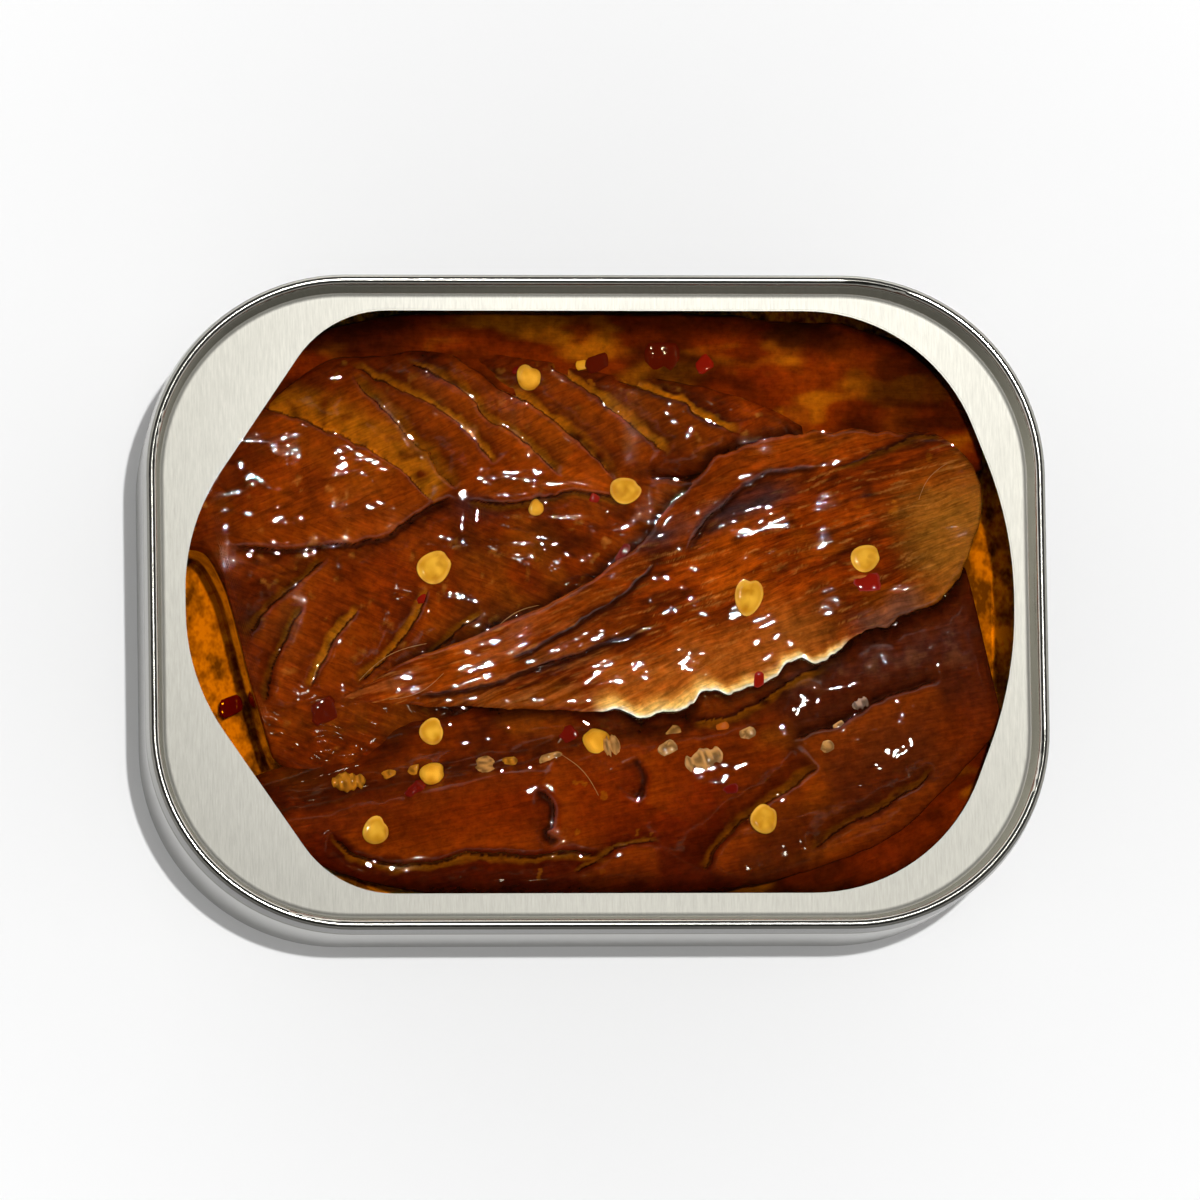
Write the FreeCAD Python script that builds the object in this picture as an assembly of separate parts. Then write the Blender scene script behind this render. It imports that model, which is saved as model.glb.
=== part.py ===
import FreeCAD, Part
import math
import os

# An opened tin of smoked mackerel in oil: a drawn tin body, the ring that the torn-off easy-open
# panel leaves in the double seam, the oil, and the fillets that lie in it.
#
# Millimetres. The origin is the centre of the base, where the tin stands. +X runs along the tin,
# +Y across it and +Z up. Profiles are drawn as (u, z): u is how far a point lies in from the seam's
# outermost outline, so one profile swept round the rounded rectangle makes a wall of even section.

# Plan of the tin, at the outside of the double seam
tin_length = 105.0
tin_width = 76.8
tin_height = 22.0
corner_radius = 23.6

# Sheet metal
lid_gauge = 0.22
body_gauge = 0.20

# Double seam: five layers with sealing compound between them
seam_height = 3.0
seam_gap = 0.04
seam_lean = 0.3
hook_overlap = 1.7

# Ring of the easy-open end
countersink_depth = 3.5
countersink_radius = 0.9
countersink_inset = 2.0
chuck_wall_height = 1.9
rim_land = 0.4

# Torn opening in the panel: straight long sides, a six-sided left end and a rounder right end
opening_margin_end = 4.1
opening_margin_side = 4.2
opening_shift_x = 0.6
opening_shift_y = 0.45
left_slope_inset = 17.2
left_side_half = 8.9
left_top_radius = 12.8
left_side_radius = 25.0
right_slope_inset = 9.7
right_side_half = 8.85
right_top_radius = 21.0
right_side_radius = 45.0
score_lip = 0.18
score_depth = 0.12

# Drawn body: neck under the seam, shoulder, drafted wall, heel and base panel
shoulder_inset = 0.1
shoulder_drop = 0.9
neck_drop = 0.35
heel_inset = 0.7
heel_radius = 1.6
foot_width = 3.4
panel_step = 0.6
bend_radius = 0.4

# Contents
oil_gap = 1.38
fish_side_gap = 0.5
fish_gap = 0.6
skin_thickness = 0.02

# Flakes of the fillets
flake_depth = 0.6
flake_lap = 2.4
flake_lip = 0.3
fibre_depth = 0.35
fibre_width = 0.9

# Heights that follow from those sizes
panel_top = tin_height - countersink_depth
panel_under = panel_top - lid_gauge
oil_level = panel_under - oil_gap
fish_top = panel_under - fish_gap
floor_top = panel_step + body_gauge


# ---------------------------------------------------------------- flat paths and profiles

def direction(a, b):
    """The unit vector from a to b."""
    length = math.hypot(b[0] - a[0], b[1] - a[1])
    return (b[0] - a[0]) / length, (b[1] - a[1]) / length


def offset_path(points, side, closed=False):
    """The same path moved sideways, to its left where side is positive, with mitred corners."""
    ends = points[1:] + points[:1] if closed else points[1:]
    runs = [direction(a, b) for a, b in zip(points, ends)]
    moved = []
    for i, (x, y) in enumerate(points):
        before = runs[i - 1] if closed or i > 0 else runs[0]
        after = runs[i] if i < len(runs) else runs[-1]
        ax, ay = -before[1], before[0]
        bx, by = -after[1], after[0]
        scale = side / (1 + ax * bx + ay * by)
        moved.append((x + (ax + bx) * scale, y + (ay + by) * scale))
    return moved


def turn_at(a, b, c):
    """How far a path turns at b, in radians, positive to the left."""
    ux, uy = direction(a, b)
    vx, vy = direction(b, c)
    return math.atan2(ux * vy - uy * vx, ux * vx + uy * vy)


def offset_radii(points, radii, side, closed=False):
    """The corner radii that go with offset_path: smaller on the inside of a bend."""
    found = []
    for i, radius in enumerate(radii):
        at_end = not closed and i in (0, len(points) - 1)
        if at_end or radius == 0:
            found.append(0)
            continue
        turn = turn_at(points[i - 1], points[i], points[(i + 1) % len(points)])
        found.append(radius - side * math.copysign(1, turn))
    return found


def rounded_edges(points, radii, place, closed=False):
    """Lines along the points, with a tangent arc of the given radius at each corner."""
    count = len(points)
    corners = []
    for i in range(count):
        inner = closed or 0 < i < count - 1
        if not inner or radii[i] <= 0:
            corners.append((points[i], None, points[i]))
            continue
        a, b, c = points[i - 1], points[i], points[(i + 1) % count]
        turn = turn_at(a, b, c)
        reach = radii[i] * math.tan(abs(turn) / 2)
        ux, uy = direction(b, a)
        vx, vy = direction(b, c)
        start = (b[0] + ux * reach, b[1] + uy * reach)
        finish = (b[0] + vx * reach, b[1] + vy * reach)
        to_middle = radii[i] / math.cos(turn / 2) - radii[i]
        mx, my = direction((0, 0), (ux + vx, uy + vy))
        corners.append((start, (b[0] + mx * to_middle, b[1] + my * to_middle), finish))
    edges = []
    for i, (start, middle, finish) in enumerate(corners):
        if middle:
            edges.append(Part.Arc(place(*start), place(*middle), place(*finish)).toShape())
        if i + 1 < count or closed:
            following = corners[(i + 1) % count][0]
            if math.dist(finish, following) > 1e-6:
                edges.append(Part.LineSegment(place(*finish), place(*following)).toShape())
    return edges


def limited_radii(points, radii):
    """The radii of a closed polygon, drawn in where two neighbours would meet on a short side."""
    count = len(points)
    reach = []
    for i, radius in enumerate(radii):
        turn = turn_at(points[i - 1], points[i], points[(i + 1) % count])
        reach.append(radius * math.tan(abs(turn) / 2))
    share = [1.0] * count
    for i in range(count):
        j = (i + 1) % count
        room = 0.98 * math.dist(points[i], points[j])
        fits = min(1.0, room / (reach[i] + reach[j]))
        share[i] = min(share[i], fits)
        share[j] = min(share[j], fits)
    return [radius * part for radius, part in zip(radii, share)]


def in_profile(u, z):
    """Where a profile point stands for the corner whose centre is the origin."""
    return FreeCAD.Vector(corner_radius - u, 0, z)


def strip_face(points, radii, gauge):
    """The section of a bent sheet whose middle runs along the points."""
    edges = []
    rims = []
    for side in (gauge / 2, -gauge / 2):
        path = offset_path(points, side)
        edges += rounded_edges(path, offset_radii(points, radii, side), in_profile)
        rims.append((path[0], path[-1]))
    for near, far in zip(*rims):
        edges.append(Part.LineSegment(in_profile(*near), in_profile(*far)).toShape())
    return Part.Face(Part.Wire(Part.__sortEdges__(edges)))


def sweep_round(face):
    """A profile face carried once round the tin's rounded rectangle."""
    reach_x = tin_length / 2 - corner_radius
    reach_y = tin_width / 2 - corner_radius
    up = FreeCAD.Vector(0, 0, 1)
    pieces = []
    for quarter in range(4):
        angle = math.radians(90 * quarter + 45)
        centre = FreeCAD.Vector(
            math.copysign(reach_x, math.cos(angle)), math.copysign(reach_y, math.sin(angle)), 0
        )
        start = face.copy()
        start.rotate(FreeCAD.Vector(0, 0, 0), up, 90 * quarter)
        start.translate(centre)
        pieces.append(start.revolve(centre, up, 90))
        end = start.copy()
        end.rotate(centre, up, 90)
        heading = math.radians(90 * quarter + 180)
        run = 2 * (reach_x if quarter % 2 == 0 else reach_y)
        pieces.append(end.extrude(FreeCAD.Vector(math.cos(heading), math.sin(heading), 0) * run))
    return pieces[0].multiFuse(pieces[1:]).removeSplitter()


def slab(inset, low, high):
    """A flat plate of the tin's plan, drawn in by inset."""
    half_x, half_y = tin_length / 2 - inset, tin_width / 2 - inset
    points = [(-half_x, -half_y), (half_x, -half_y), (half_x, half_y), (-half_x, half_y)]
    radii = [corner_radius - inset] * 4
    edges = rounded_edges(points, radii, lambda x, y: FreeCAD.Vector(x, y, low), closed=True)
    return Part.Face(Part.Wire(edges)).extrude(FreeCAD.Vector(0, 0, high - low))


# ---------------------------------------------------------------- the double seam

# The middle of each layer, from the outside in
cover_outer = lid_gauge / 2
body_hook = lid_gauge + seam_gap + body_gauge / 2
cover_hook = body_hook + body_gauge / 2 + seam_gap + lid_gauge / 2
body_neck = cover_hook + lid_gauge / 2 + seam_gap + body_gauge / 2
chuck_wall = body_neck + body_gauge / 2 + seam_gap + lid_gauge / 2

seam_crown = tin_height - lid_gauge / 2
bend_share = 0.97
crown_radius = bend_share * (chuck_wall - cover_outer) / 2
flange_top = seam_crown - lid_gauge / 2 - seam_gap - body_gauge / 2
flange_radius = bend_share * (body_neck - body_hook) / 2
curl_bottom = tin_height - seam_height + lid_gauge / 2
curl_radius = bend_share * (cover_hook - cover_outer) / 2
cover_hook_tip = flange_top - flange_radius
body_hook_tip = cover_hook_tip - hook_overlap


def leaned(u, z):
    """A point of the seam, which the seaming rollers leave a little wider at its foot."""
    return u + seam_lean * (z - tin_height + seam_height) / seam_height, z


def lid_ring():
    """Seam cover, chuck wall and countersunk panel, with the panel torn out along its score."""
    panel_middle = panel_top - lid_gauge / 2
    land = countersink_inset + countersink_radius + rim_land
    points = [
        (land, panel_middle),
        (countersink_inset, panel_middle),
        leaned(chuck_wall, panel_middle + chuck_wall_height),
        leaned(chuck_wall, seam_crown),
        leaned(cover_outer, seam_crown),
        leaned(cover_outer, curl_bottom),
        leaned(cover_hook, curl_bottom),
        leaned(cover_hook, cover_hook_tip),
    ]
    radii = [
        0, countersink_radius, countersink_radius, crown_radius, crown_radius,
        curl_radius, curl_radius, 0,
    ]
    section = strip_face(points, radii, lid_gauge)
    plate = slab(land - rim_land, panel_under, panel_top)
    lip_level = panel_top - score_depth
    upper = opening_prism(0, lip_level, panel_top + 1)
    lower = opening_prism(score_lip, panel_under - 1, lip_level)
    return sweep_round(section).fuse(plate.cut(upper).cut(lower)).removeSplitter()


def opening_prism(inset, low, high):
    """The torn opening as a prism: a polygon with one radius for each kind of corner."""
    right = tin_length / 2 - opening_margin_end
    left = -right
    half = tin_width / 2 - opening_margin_side
    lower_half = [
        (left, -left_side_half),
        (left + left_slope_inset, -half),
        (right - right_slope_inset, -half),
        (right, -right_side_half),
    ]
    points = lower_half + [(x, -y) for x, y in reversed(lower_half)]
    half_radii = [left_side_radius, left_top_radius, right_top_radius, right_side_radius]
    radii = half_radii + half_radii[::-1]
    path = [
        (x + opening_shift_x, y + opening_shift_y)
        for x, y in offset_path(points, inset, closed=True)
    ]
    bends = offset_radii(points, limited_radii(points, radii), inset, closed=True)
    edges = rounded_edges(path, bends, lambda x, y: FreeCAD.Vector(x, y, low), closed=True)
    return Part.Face(Part.Wire(edges)).extrude(FreeCAD.Vector(0, 0, high - low))


def body_path():
    """The middle of the drawn sheet, from the base panel out to the heel and up to its hook."""
    half = body_gauge / 2
    shoulder_level = tin_height - seam_height - shoulder_drop
    foot = heel_inset + half + foot_width
    points = [
        (foot + 2 * bend_radius + panel_step, panel_step + half),
        (foot + panel_step, panel_step + half),
        (foot, half),
        (heel_inset + half, half),
        (shoulder_inset + half, shoulder_level),
        leaned(body_neck, shoulder_level + shoulder_drop - neck_drop),
        leaned(body_neck, flange_top),
        leaned(body_hook, flange_top),
        leaned(body_hook, body_hook_tip),
    ]
    radii = [
        0, bend_radius, bend_radius, heel_radius, 2 * bend_radius, bend_radius,
        flange_radius, flange_radius, 0,
    ]
    return points, radii


def can_body():
    """The drawn body: swept wall and foot, closed by the flat base panel."""
    points, radii = body_path()
    wall = sweep_round(strip_face(points, radii, body_gauge))
    base = slab(points[0][0] - bend_radius, panel_step, floor_top)
    return wall.fuse(base).removeSplitter()


def inside(level, gap):
    """The room inside the body up to a level, keeping a gap from the wall."""
    points, radii = body_path()
    side = -(body_gauge / 2 + gap)
    path = offset_path(points[:5], side)
    bends = offset_radii(points[:5], radii[:5], side)
    (u_low, z_low), (u_high, z_high) = path[3], path[4]
    share = (level - z_low) / (z_high - z_low)
    path[4] = (u_low + share * (u_high - u_low), level)
    core = path[0][0] + 1
    edges = rounded_edges(path, bends, in_profile)
    rim = [path[4], (core, level), (core, path[0][1]), path[0]]
    for a, b in zip(rim, rim[1:]):
        edges.append(Part.LineSegment(in_profile(*a), in_profile(*b)).toShape())
    shell = sweep_round(Part.Face(Part.Wire(Part.__sortEdges__(edges))))
    return shell.fuse(slab(core - bend_radius, path[0][1], level)).removeSplitter()


# ---------------------------------------------------------------- fillets

class Fillet:
    """A fillet lofted along a straight line, from stations of (x, width to the back, width to the
    front, depth of its crown below fish_top)."""

    def __init__(self, start, finish, stations, shoulder, crease):
        self.start, self.finish = start, finish
        self.stations = stations
        self.shoulder, self.crease = shoulder, crease
        self.along = direction(start, finish)
        self.across = (-self.along[1], self.along[0])

    def point(self, x, side, z):
        """A point at the axis's x, side mm to its left, at height z."""
        y = self.axis_y(x)
        return FreeCAD.Vector(x + self.across[0] * side, y + self.across[1] * side, z)

    def axis_y(self, x):
        share = (x - self.start[0]) / (self.finish[0] - self.start[0])
        return self.start[1] + share * (self.finish[1] - self.start[1])

    def section(self, x, back, front, drop):
        """The closed outline at one station: flat foot, steep flanks, two crowned loins."""
        crown = fish_top - drop
        rim = crown - self.shoulder
        haunch = crown - 0.2 * self.shoulder
        top = [
            self.point(x, back, rim),
            self.point(x, 0.86 * back, haunch),
            self.point(x, 0.5 * back, crown),
            self.point(x, 0, crown - self.crease),
            self.point(x, -0.5 * front, crown),
            self.point(x, -0.86 * front, haunch),
            self.point(x, -front, rim),
        ]
        curve = Part.BSplineCurve()
        curve.interpolate(top)
        foot_back, foot_front = self.point(x, back, floor_top), self.point(x, -front, floor_top)
        return Part.Wire([
            curve.toShape(),
            Part.LineSegment(top[-1], foot_front).toShape(),
            Part.LineSegment(foot_front, foot_back).toShape(),
            Part.LineSegment(foot_back, top[0]).toShape(),
        ])

    def body(self):
        return Part.makeLoft([self.section(*s) for s in self.stations], True, False)

    def crown_at(self, x):
        """The height of the crown at x, between the stations."""
        for (xa, _, _, da), (xb, _, _, db) in zip(self.stations, self.stations[1:]):
            if xa <= x <= xb:
                return fish_top - da - (db - da) * (x - xa) / (xb - xa)
        return fish_top - self.stations[-1][3]

    def flake_cut(self, x, angle, length):
        """The step where one flake laps the next: a wedge from the fillet's middle line outwards,
        at an angle to it, steep on one side and long on the other."""
        crown = self.crown_at(x) - self.crease
        base = math.atan2(self.along[1], self.along[0]) + math.radians(angle)
        run = FreeCAD.Vector(math.cos(base), math.sin(base), 0)
        lead = FreeCAD.Vector(self.along[0], self.along[1], 0)
        origin = self.point(x, 0, crown)
        high = FreeCAD.Vector(0, 0, flake_depth * 3)
        low = FreeCAD.Vector(0, 0, -flake_depth)
        corners = [origin + low, origin + high - lead * flake_lip, origin + high + lead * flake_lap]
        return Part.Face(Part.makePolygon(corners + corners[:1])).extrude(run * length)

    def fibre_cut(self, x_from, x_to, side):
        """A shallow groove along the fillet, where two bundles of fibre part."""
        start = self.point(x_from, side, self.crown_at(x_from))
        finish = self.point(x_to, side, self.crown_at(x_to))
        across = FreeCAD.Vector(self.across[0], self.across[1], 0) * (fibre_width / 2)
        high = FreeCAD.Vector(0, 0, fibre_depth * 3)
        corners = [start - high / 3, start + high + across, start + high - across]
        return Part.Face(Part.makePolygon(corners + corners[:1])).extrude(finish - start)


def largest(shape):
    """The main solid of a cut, without slivers."""
    return max(shape.Solids, key=lambda s: s.Volume)


def wavy_edge(fillet, x_from, x_to, side, swing, waves):
    """A cutter that leaves a torn, scalloped edge along the front of a fillet."""
    count = 4 * waves
    points = []
    for i in range(count + 1):
        share = i / count
        x = x_from + (x_to - x_from) * share
        ripple = math.sin(2 * math.pi * waves * share) + 0.6 * math.sin(9.7 * share * waves)
        points.append(fillet.point(x, -side - swing * ripple, floor_top - 1))
    curve = Part.BSplineCurve()
    curve.interpolate(points)
    far = [fillet.point(x, -side - 12, floor_top - 1) for x in (x_to, x_from)]
    outline = Part.Wire([
        curve.toShape(),
        Part.LineSegment(points[-1], far[0]).toShape(),
        Part.LineSegment(far[0], far[1]).toShape(),
        Part.LineSegment(far[1], points[0]).toShape(),
    ])
    return Part.Face(outline).extrude(FreeCAD.Vector(0, 0, tin_height))


left = Fillet(
    start=(-47.5, 7.5),
    finish=(25.0, 19.0),
    stations=[
        (-47.5, 4.0, 2.0, 2.2),
        (-44.5, 8.0, 10.0, 1.0),
        (-41.5, 11.5, 21.0, 0.6),
        (-37.0, 13.5, 26.0, 0.5),
        (-27.0, 18.5, 26.0, 0.2),
        (-14.0, 17.0, 22.0, 0.0),
        (0.0, 13.0, 18.0, 0.1),
        (14.0, 7.5, 12.0, 0.2),
        (25.0, 2.5, 3.0, 1.2),
    ],
    shoulder=2.4,
    crease=0.2,
)

centre = Fillet(
    start=(-31.0, -11.0),
    finish=(45.0, 15.4),
    stations=[
        (-31.0, 0.6, 0.6, 1.8),
        (-20.0, 1.0, 4.5, 0.6),
        (-5.0, 1.6, 10.8, 0.1),
        (5.0, 4.0, 14.0, 0.0),
        (13.0, 9.5, 14.6, 0.0),
        (20.0, 13.5, 14.8, 0.0),
        (28.0, 12.0, 12.8, 0.1),
        (36.0, 8.7, 13.0, 0.2),
        (45.0, 4.5, 5.0, 1.0),
    ],
    shoulder=1.4,
    crease=0.1,
)

front = Fillet(
    start=(-37.0, -22.2),
    finish=(45.5, -4.1),
    stations=[
        (-42.0, 1.5, 2.5, 2.4),
        (-36.0, 3.0, 8.0, 1.4),
        (-28.0, 3.5, 12.5, 0.6),
        (-18.0, 4.5, 16.0, 0.2),
        (0.0, 6.0, 20.0, 0.2),
        (15.0, 10.0, 22.0, 0.3),
        (28.0, 11.0, 20.5, 0.2),
        (38.0, 12.0, 15.0, 0.3),
        (45.5, 7.0, 8.6, 0.5),
    ],
    shoulder=2.6,
    crease=0.15,
)

lower_back = Fillet(
    start=(-42.0, 24.0),
    finish=(46.0, 22.5),
    stations=[
        (-42.0, 4.0, 4.0, 2.6),
        (-30.0, 9.5, 9.0, 2.4),
        (-14.0, 12.0, 8.0, 2.7),
        (6.0, 11.5, 10.0, 2.9),
        (26.0, 10.5, 9.0, 3.0),
        (37.0, 8.5, 10.0, 3.0),
        (46.0, 4.5, 6.0, 3.8),
    ],
    shoulder=1.5,
    crease=0.3,
)

lower_front = Fillet(
    start=(6.0, -36.5),
    finish=(47.5, -18.5),
    stations=[
        (6.0, 1.5, 1.5, 4.6),
        (16.0, 5.0, 5.0, 3.6),
        (32.0, 7.0, 8.0, 3.2),
        (42.0, 8.0, 6.0, 3.2),
        (47.5, 6.0, 3.5, 4.2),
    ],
    shoulder=1.2,
    crease=0.2,
)


def left_flakes():
    """Chevron flakes that point along the middle line of the back left fillet."""
    cutters = []
    for step in range(7):
        x = -36.0 + 8.4 * step
        cutters.append(left.flake_cut(x, 128 - 1.5 * step, 24 - 1.4 * step))
        cutters.append(left.flake_cut(x + 1.5, -142 + 2.0 * step, 32 - 1.0 * step))
    return Part.makeCompound(cutters)


def centre_fibres():
    """Long bundles of fibre on the centre fillet, which lies on top."""
    sides = (-10.0, -6.8, -3.4, 0.4, 4.2, 8.0)
    return Part.makeCompound([
        centre.fibre_cut(-12.0 + abs(side), 39.0 - abs(side), side) for side in sides
    ])


def front_flakes():
    """A few wide flakes on the outer loin of the front fillet."""
    return Part.makeCompound([
        front.flake_cut(-22.0 + 11.0 * step, -118 - 2 * step, 26) for step in range(6)
    ])


def build():
    """Every piece. A fillet is cut back to what lies on top of it, so that they meet face to face,
    before its own flakes are cut."""
    room = inside(fish_top, fish_side_gap)
    torn_edge = wavy_edge(centre, -2.0, 36.0, 12.9, 0.9, 5)
    middle = largest(centre.body().common(room).cut(torn_edge))
    back = largest(left.body().common(room).cut(middle))
    near = largest(front.body().common(room).cut(middle).cut(back))
    pieces = {
        "fillet_centre": largest(middle.cut(centre_fibres())),
        "fillet_left": largest(back.cut(left_flakes())),
        "fillet_front": largest(near.cut(front_flakes())),
        "lower_fillet_back": largest(lower_back.body().common(room).cut(back).cut(middle)),
        "lower_fillet_front": largest(lower_front.body().common(room).cut(near).cut(middle)),
    }
    oil = inside(oil_level, skin_thickness)
    pieces["oil"] = largest(oil.cut(Part.makeCompound(list(pieces.values()))))
    pieces["can_body"] = can_body()
    pieces["lid_ring"] = lid_ring()
    return pieces


os.makedirs("parts", exist_ok=True)
for node, shape in build().items():
    print(node, shape.ShapeType, [round(s.Volume, 1) for s in shape.Solids], shape.isValid())
    shape.exportStep("parts/" + node + ".step")
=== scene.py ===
"""Looks of an opened tin of smoked mackerel: flaked fillets in amber oil, chilli seeds and pepper
bits, a bright tinplate rim with a brushed panel, and the studio around it. Lengths are millimetres
in the modelling code and become metres when a mesh is made."""

import math

import bpy
import numpy as np
from mathutils import Matrix, Vector


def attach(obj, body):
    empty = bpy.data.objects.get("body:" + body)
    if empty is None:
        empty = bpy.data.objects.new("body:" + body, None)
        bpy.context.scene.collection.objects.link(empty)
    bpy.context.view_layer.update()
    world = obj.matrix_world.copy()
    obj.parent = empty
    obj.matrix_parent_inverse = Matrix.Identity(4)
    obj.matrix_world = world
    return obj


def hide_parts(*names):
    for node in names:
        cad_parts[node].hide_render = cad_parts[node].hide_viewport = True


MM = 0.001

# Sizes shared with the construction
TIN_X, TIN_Y, TIN_Z = 105.0, 76.8, 22.0
CORNER = 23.6
PANEL_TOP = 18.5
FLOOR_TOP = 0.8
OIL_LEVEL = 16.9
FISH_TOP = 17.68

# Spacing of the points on the fish, and how many rows its flanks have
STEP = 0.2
FLANK_ROWS = 6


# ---------------------------------------------------------------- noise

def hashed(ix, iy, seed):
    """A repeatable number from 0 to 1 for each cell of a lattice."""
    h = ix.astype(np.int64) * 374761393 + iy.astype(np.int64) * 668265263 + seed * 144269504
    h = (h ^ (h >> 13)) & 0xFFFFFFFF
    h = (h * 1274126177) & 0xFFFFFFFF
    h = h ^ (h >> 16)
    return (h & 0xFFFFFF) / float(0xFFFFFF)


def noise(x, y, seed=0):
    """Smooth value noise from -1 to 1 with cells of one unit."""
    ix, iy = np.floor(x), np.floor(y)
    fx, fy = x - ix, y - iy
    ux, uy = fx * fx * (3 - 2 * fx), fy * fy * (3 - 2 * fy)
    a, b = hashed(ix, iy, seed), hashed(ix + 1, iy, seed)
    c, d = hashed(ix, iy + 1, seed), hashed(ix + 1, iy + 1, seed)
    return 2 * ((a + (b - a) * ux) * (1 - uy) + (c + (d - c) * ux) * uy) - 1


def fbm(x, y, seed=0, octaves=3):
    """Noise of several sizes added up, from -1 to 1."""
    total, size = 0, 0
    for k in range(octaves):
        total = total + noise(x * 2 ** k + 17.3 * k, y * 2 ** k - 9.1 * k, seed + k) * 0.5 ** k
        size += 0.5 ** k
    return total / size


def smooth(low, high, x):
    """A soft step from 0 at low to 1 at high. It falls where low is the larger."""
    t = np.clip((x - low) / (high - low), 0, 1)
    return t * t * (3 - 2 * t)


def blend(a, b, share):
    """Colours a and b mixed by share, an array."""
    return np.asarray(a) * (1 - share[..., None]) + np.asarray(b) * share[..., None]


def curve_through(xs, ys, x):
    """A smooth curve through stations that doesn't overshoot them."""
    xs, ys = np.asarray(xs, float), np.asarray(ys, float)
    slope = np.diff(ys) / np.diff(xs)
    tangent = np.zeros_like(ys)
    same = slope[:-1] * slope[1:] > 0
    tangent[1:-1][same] = 2 * slope[:-1][same] * slope[1:][same] / (slope[:-1] + slope[1:])[same]
    tangent[0], tangent[-1] = slope[0], slope[-1]
    x = np.clip(x, xs[0], xs[-1])
    k = np.clip(np.searchsorted(xs, x) - 1, 0, len(xs) - 2)
    span = xs[k + 1] - xs[k]
    t = (x - xs[k]) / span
    return (
        (2 * t ** 3 - 3 * t ** 2 + 1) * ys[k] + (t ** 3 - 2 * t ** 2 + t) * span * tangent[k]
        + (3 * t ** 2 - 2 * t ** 3) * ys[k + 1] + (t ** 3 - t ** 2) * span * tangent[k + 1]
    )


# ---------------------------------------------------------------- meshes

def mesh_object(name, verts, faces, colours=None, flow=None):
    """A smooth mesh from millimetre vertices, with a colour and a flow coordinate for each."""
    mesh = bpy.data.meshes.new(name)
    mesh.from_pydata((np.asarray(verts) * MM).tolist(), [], faces)
    if colours is not None:
        layer = mesh.color_attributes.new("tint", "FLOAT_COLOR", "POINT")
        rgba = np.ones((len(verts), 4), np.float32)
        rgba[:, :colours.shape[1]] = colours
        layer.data.foreach_set("color", rgba.ravel())
    if flow is not None:
        layer = mesh.attributes.new("flow", "FLOAT_VECTOR", "POINT")
        layer.data.foreach_set("vector", np.asarray(flow, np.float32).ravel())
    mesh.polygons.foreach_set("use_smooth", np.ones(len(mesh.polygons), bool))
    mesh.update()
    obj = bpy.data.objects.new(name, mesh)
    bpy.context.scene.collection.objects.link(obj)
    return obj


def tube_of_rings(rings):
    """Quads between closed rings of equal length, with a fan over each end."""
    count, around = rings.shape[0], rings.shape[1]
    verts = rings.reshape(-1, 3)
    i = np.arange(count - 1)[:, None] * around
    j = np.arange(around)[None, :]
    k = (j + 1) % around
    quads = np.stack([i + j, i + k, i + k + around, i + j + around], -1).reshape(-1, 4)
    faces = quads.tolist()
    ends = np.array([rings[0].mean(0), rings[-1].mean(0)])
    first, last = len(verts), len(verts) + 1
    base = (count - 1) * around
    for a in range(around):
        b = (a + 1) % around
        faces.append((first, b, a))
        faces.append((last, base + a, base + b))
    return np.vstack([verts, ends]), faces


# ---------------------------------------------------------------- fillets

FLESH_DARK = (0.024, 0.004, 0.001)
FLESH_BROWN = (0.084, 0.01, 0.0008)
FLESH = (0.162, 0.0195, 0.0006)
FLESH_AMBER = (0.23, 0.048, 0.002)
FLESH_WARM = (0.29, 0.044, 0.0013)
FLESH_RED = (0.14, 0.0165, 0.0012)
LOBE_RED = (0.135, 0.01, 0.0003)
MAHOGANY = (0.062, 0.0095, 0.0024)
PURPLE = (0.03, 0.008, 0.008)
FAT = (0.46, 0.14, 0.004)
PALE_SPECK = (0.42, 0.15, 0.02)
PALE_FIBRE = (0.46, 0.17, 0.03)
TAIL_TAN = (0.3, 0.085, 0.016)
END_OCHRE = (0.34, 0.115, 0.011)
INNER_GLOW = (0.4, 0.1, 0.01)
TORN_AMBER = (0.58, 0.22, 0.028)
TORN_GOLD = (0.8, 0.43, 0.1)
CREAM = (0.9, 0.56, 0.19)
WHITE_RIM = (1.0, 0.9, 0.68)
GREY_SKIN = (0.03, 0.019, 0.019)
BROWN_SKIN = (0.085, 0.045, 0.028)
CRUMB_BROWN = (0.2, 0.06, 0.018)
SUNK_OCHRE = (0.42, 0.135, 0.004)
SUNK_RED = (0.16, 0.018, 0.002)
# painted shade for the gaps where one fillet lies over another
GAP_SHADE = (0.008, 0.0018, 0.0006)


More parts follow.
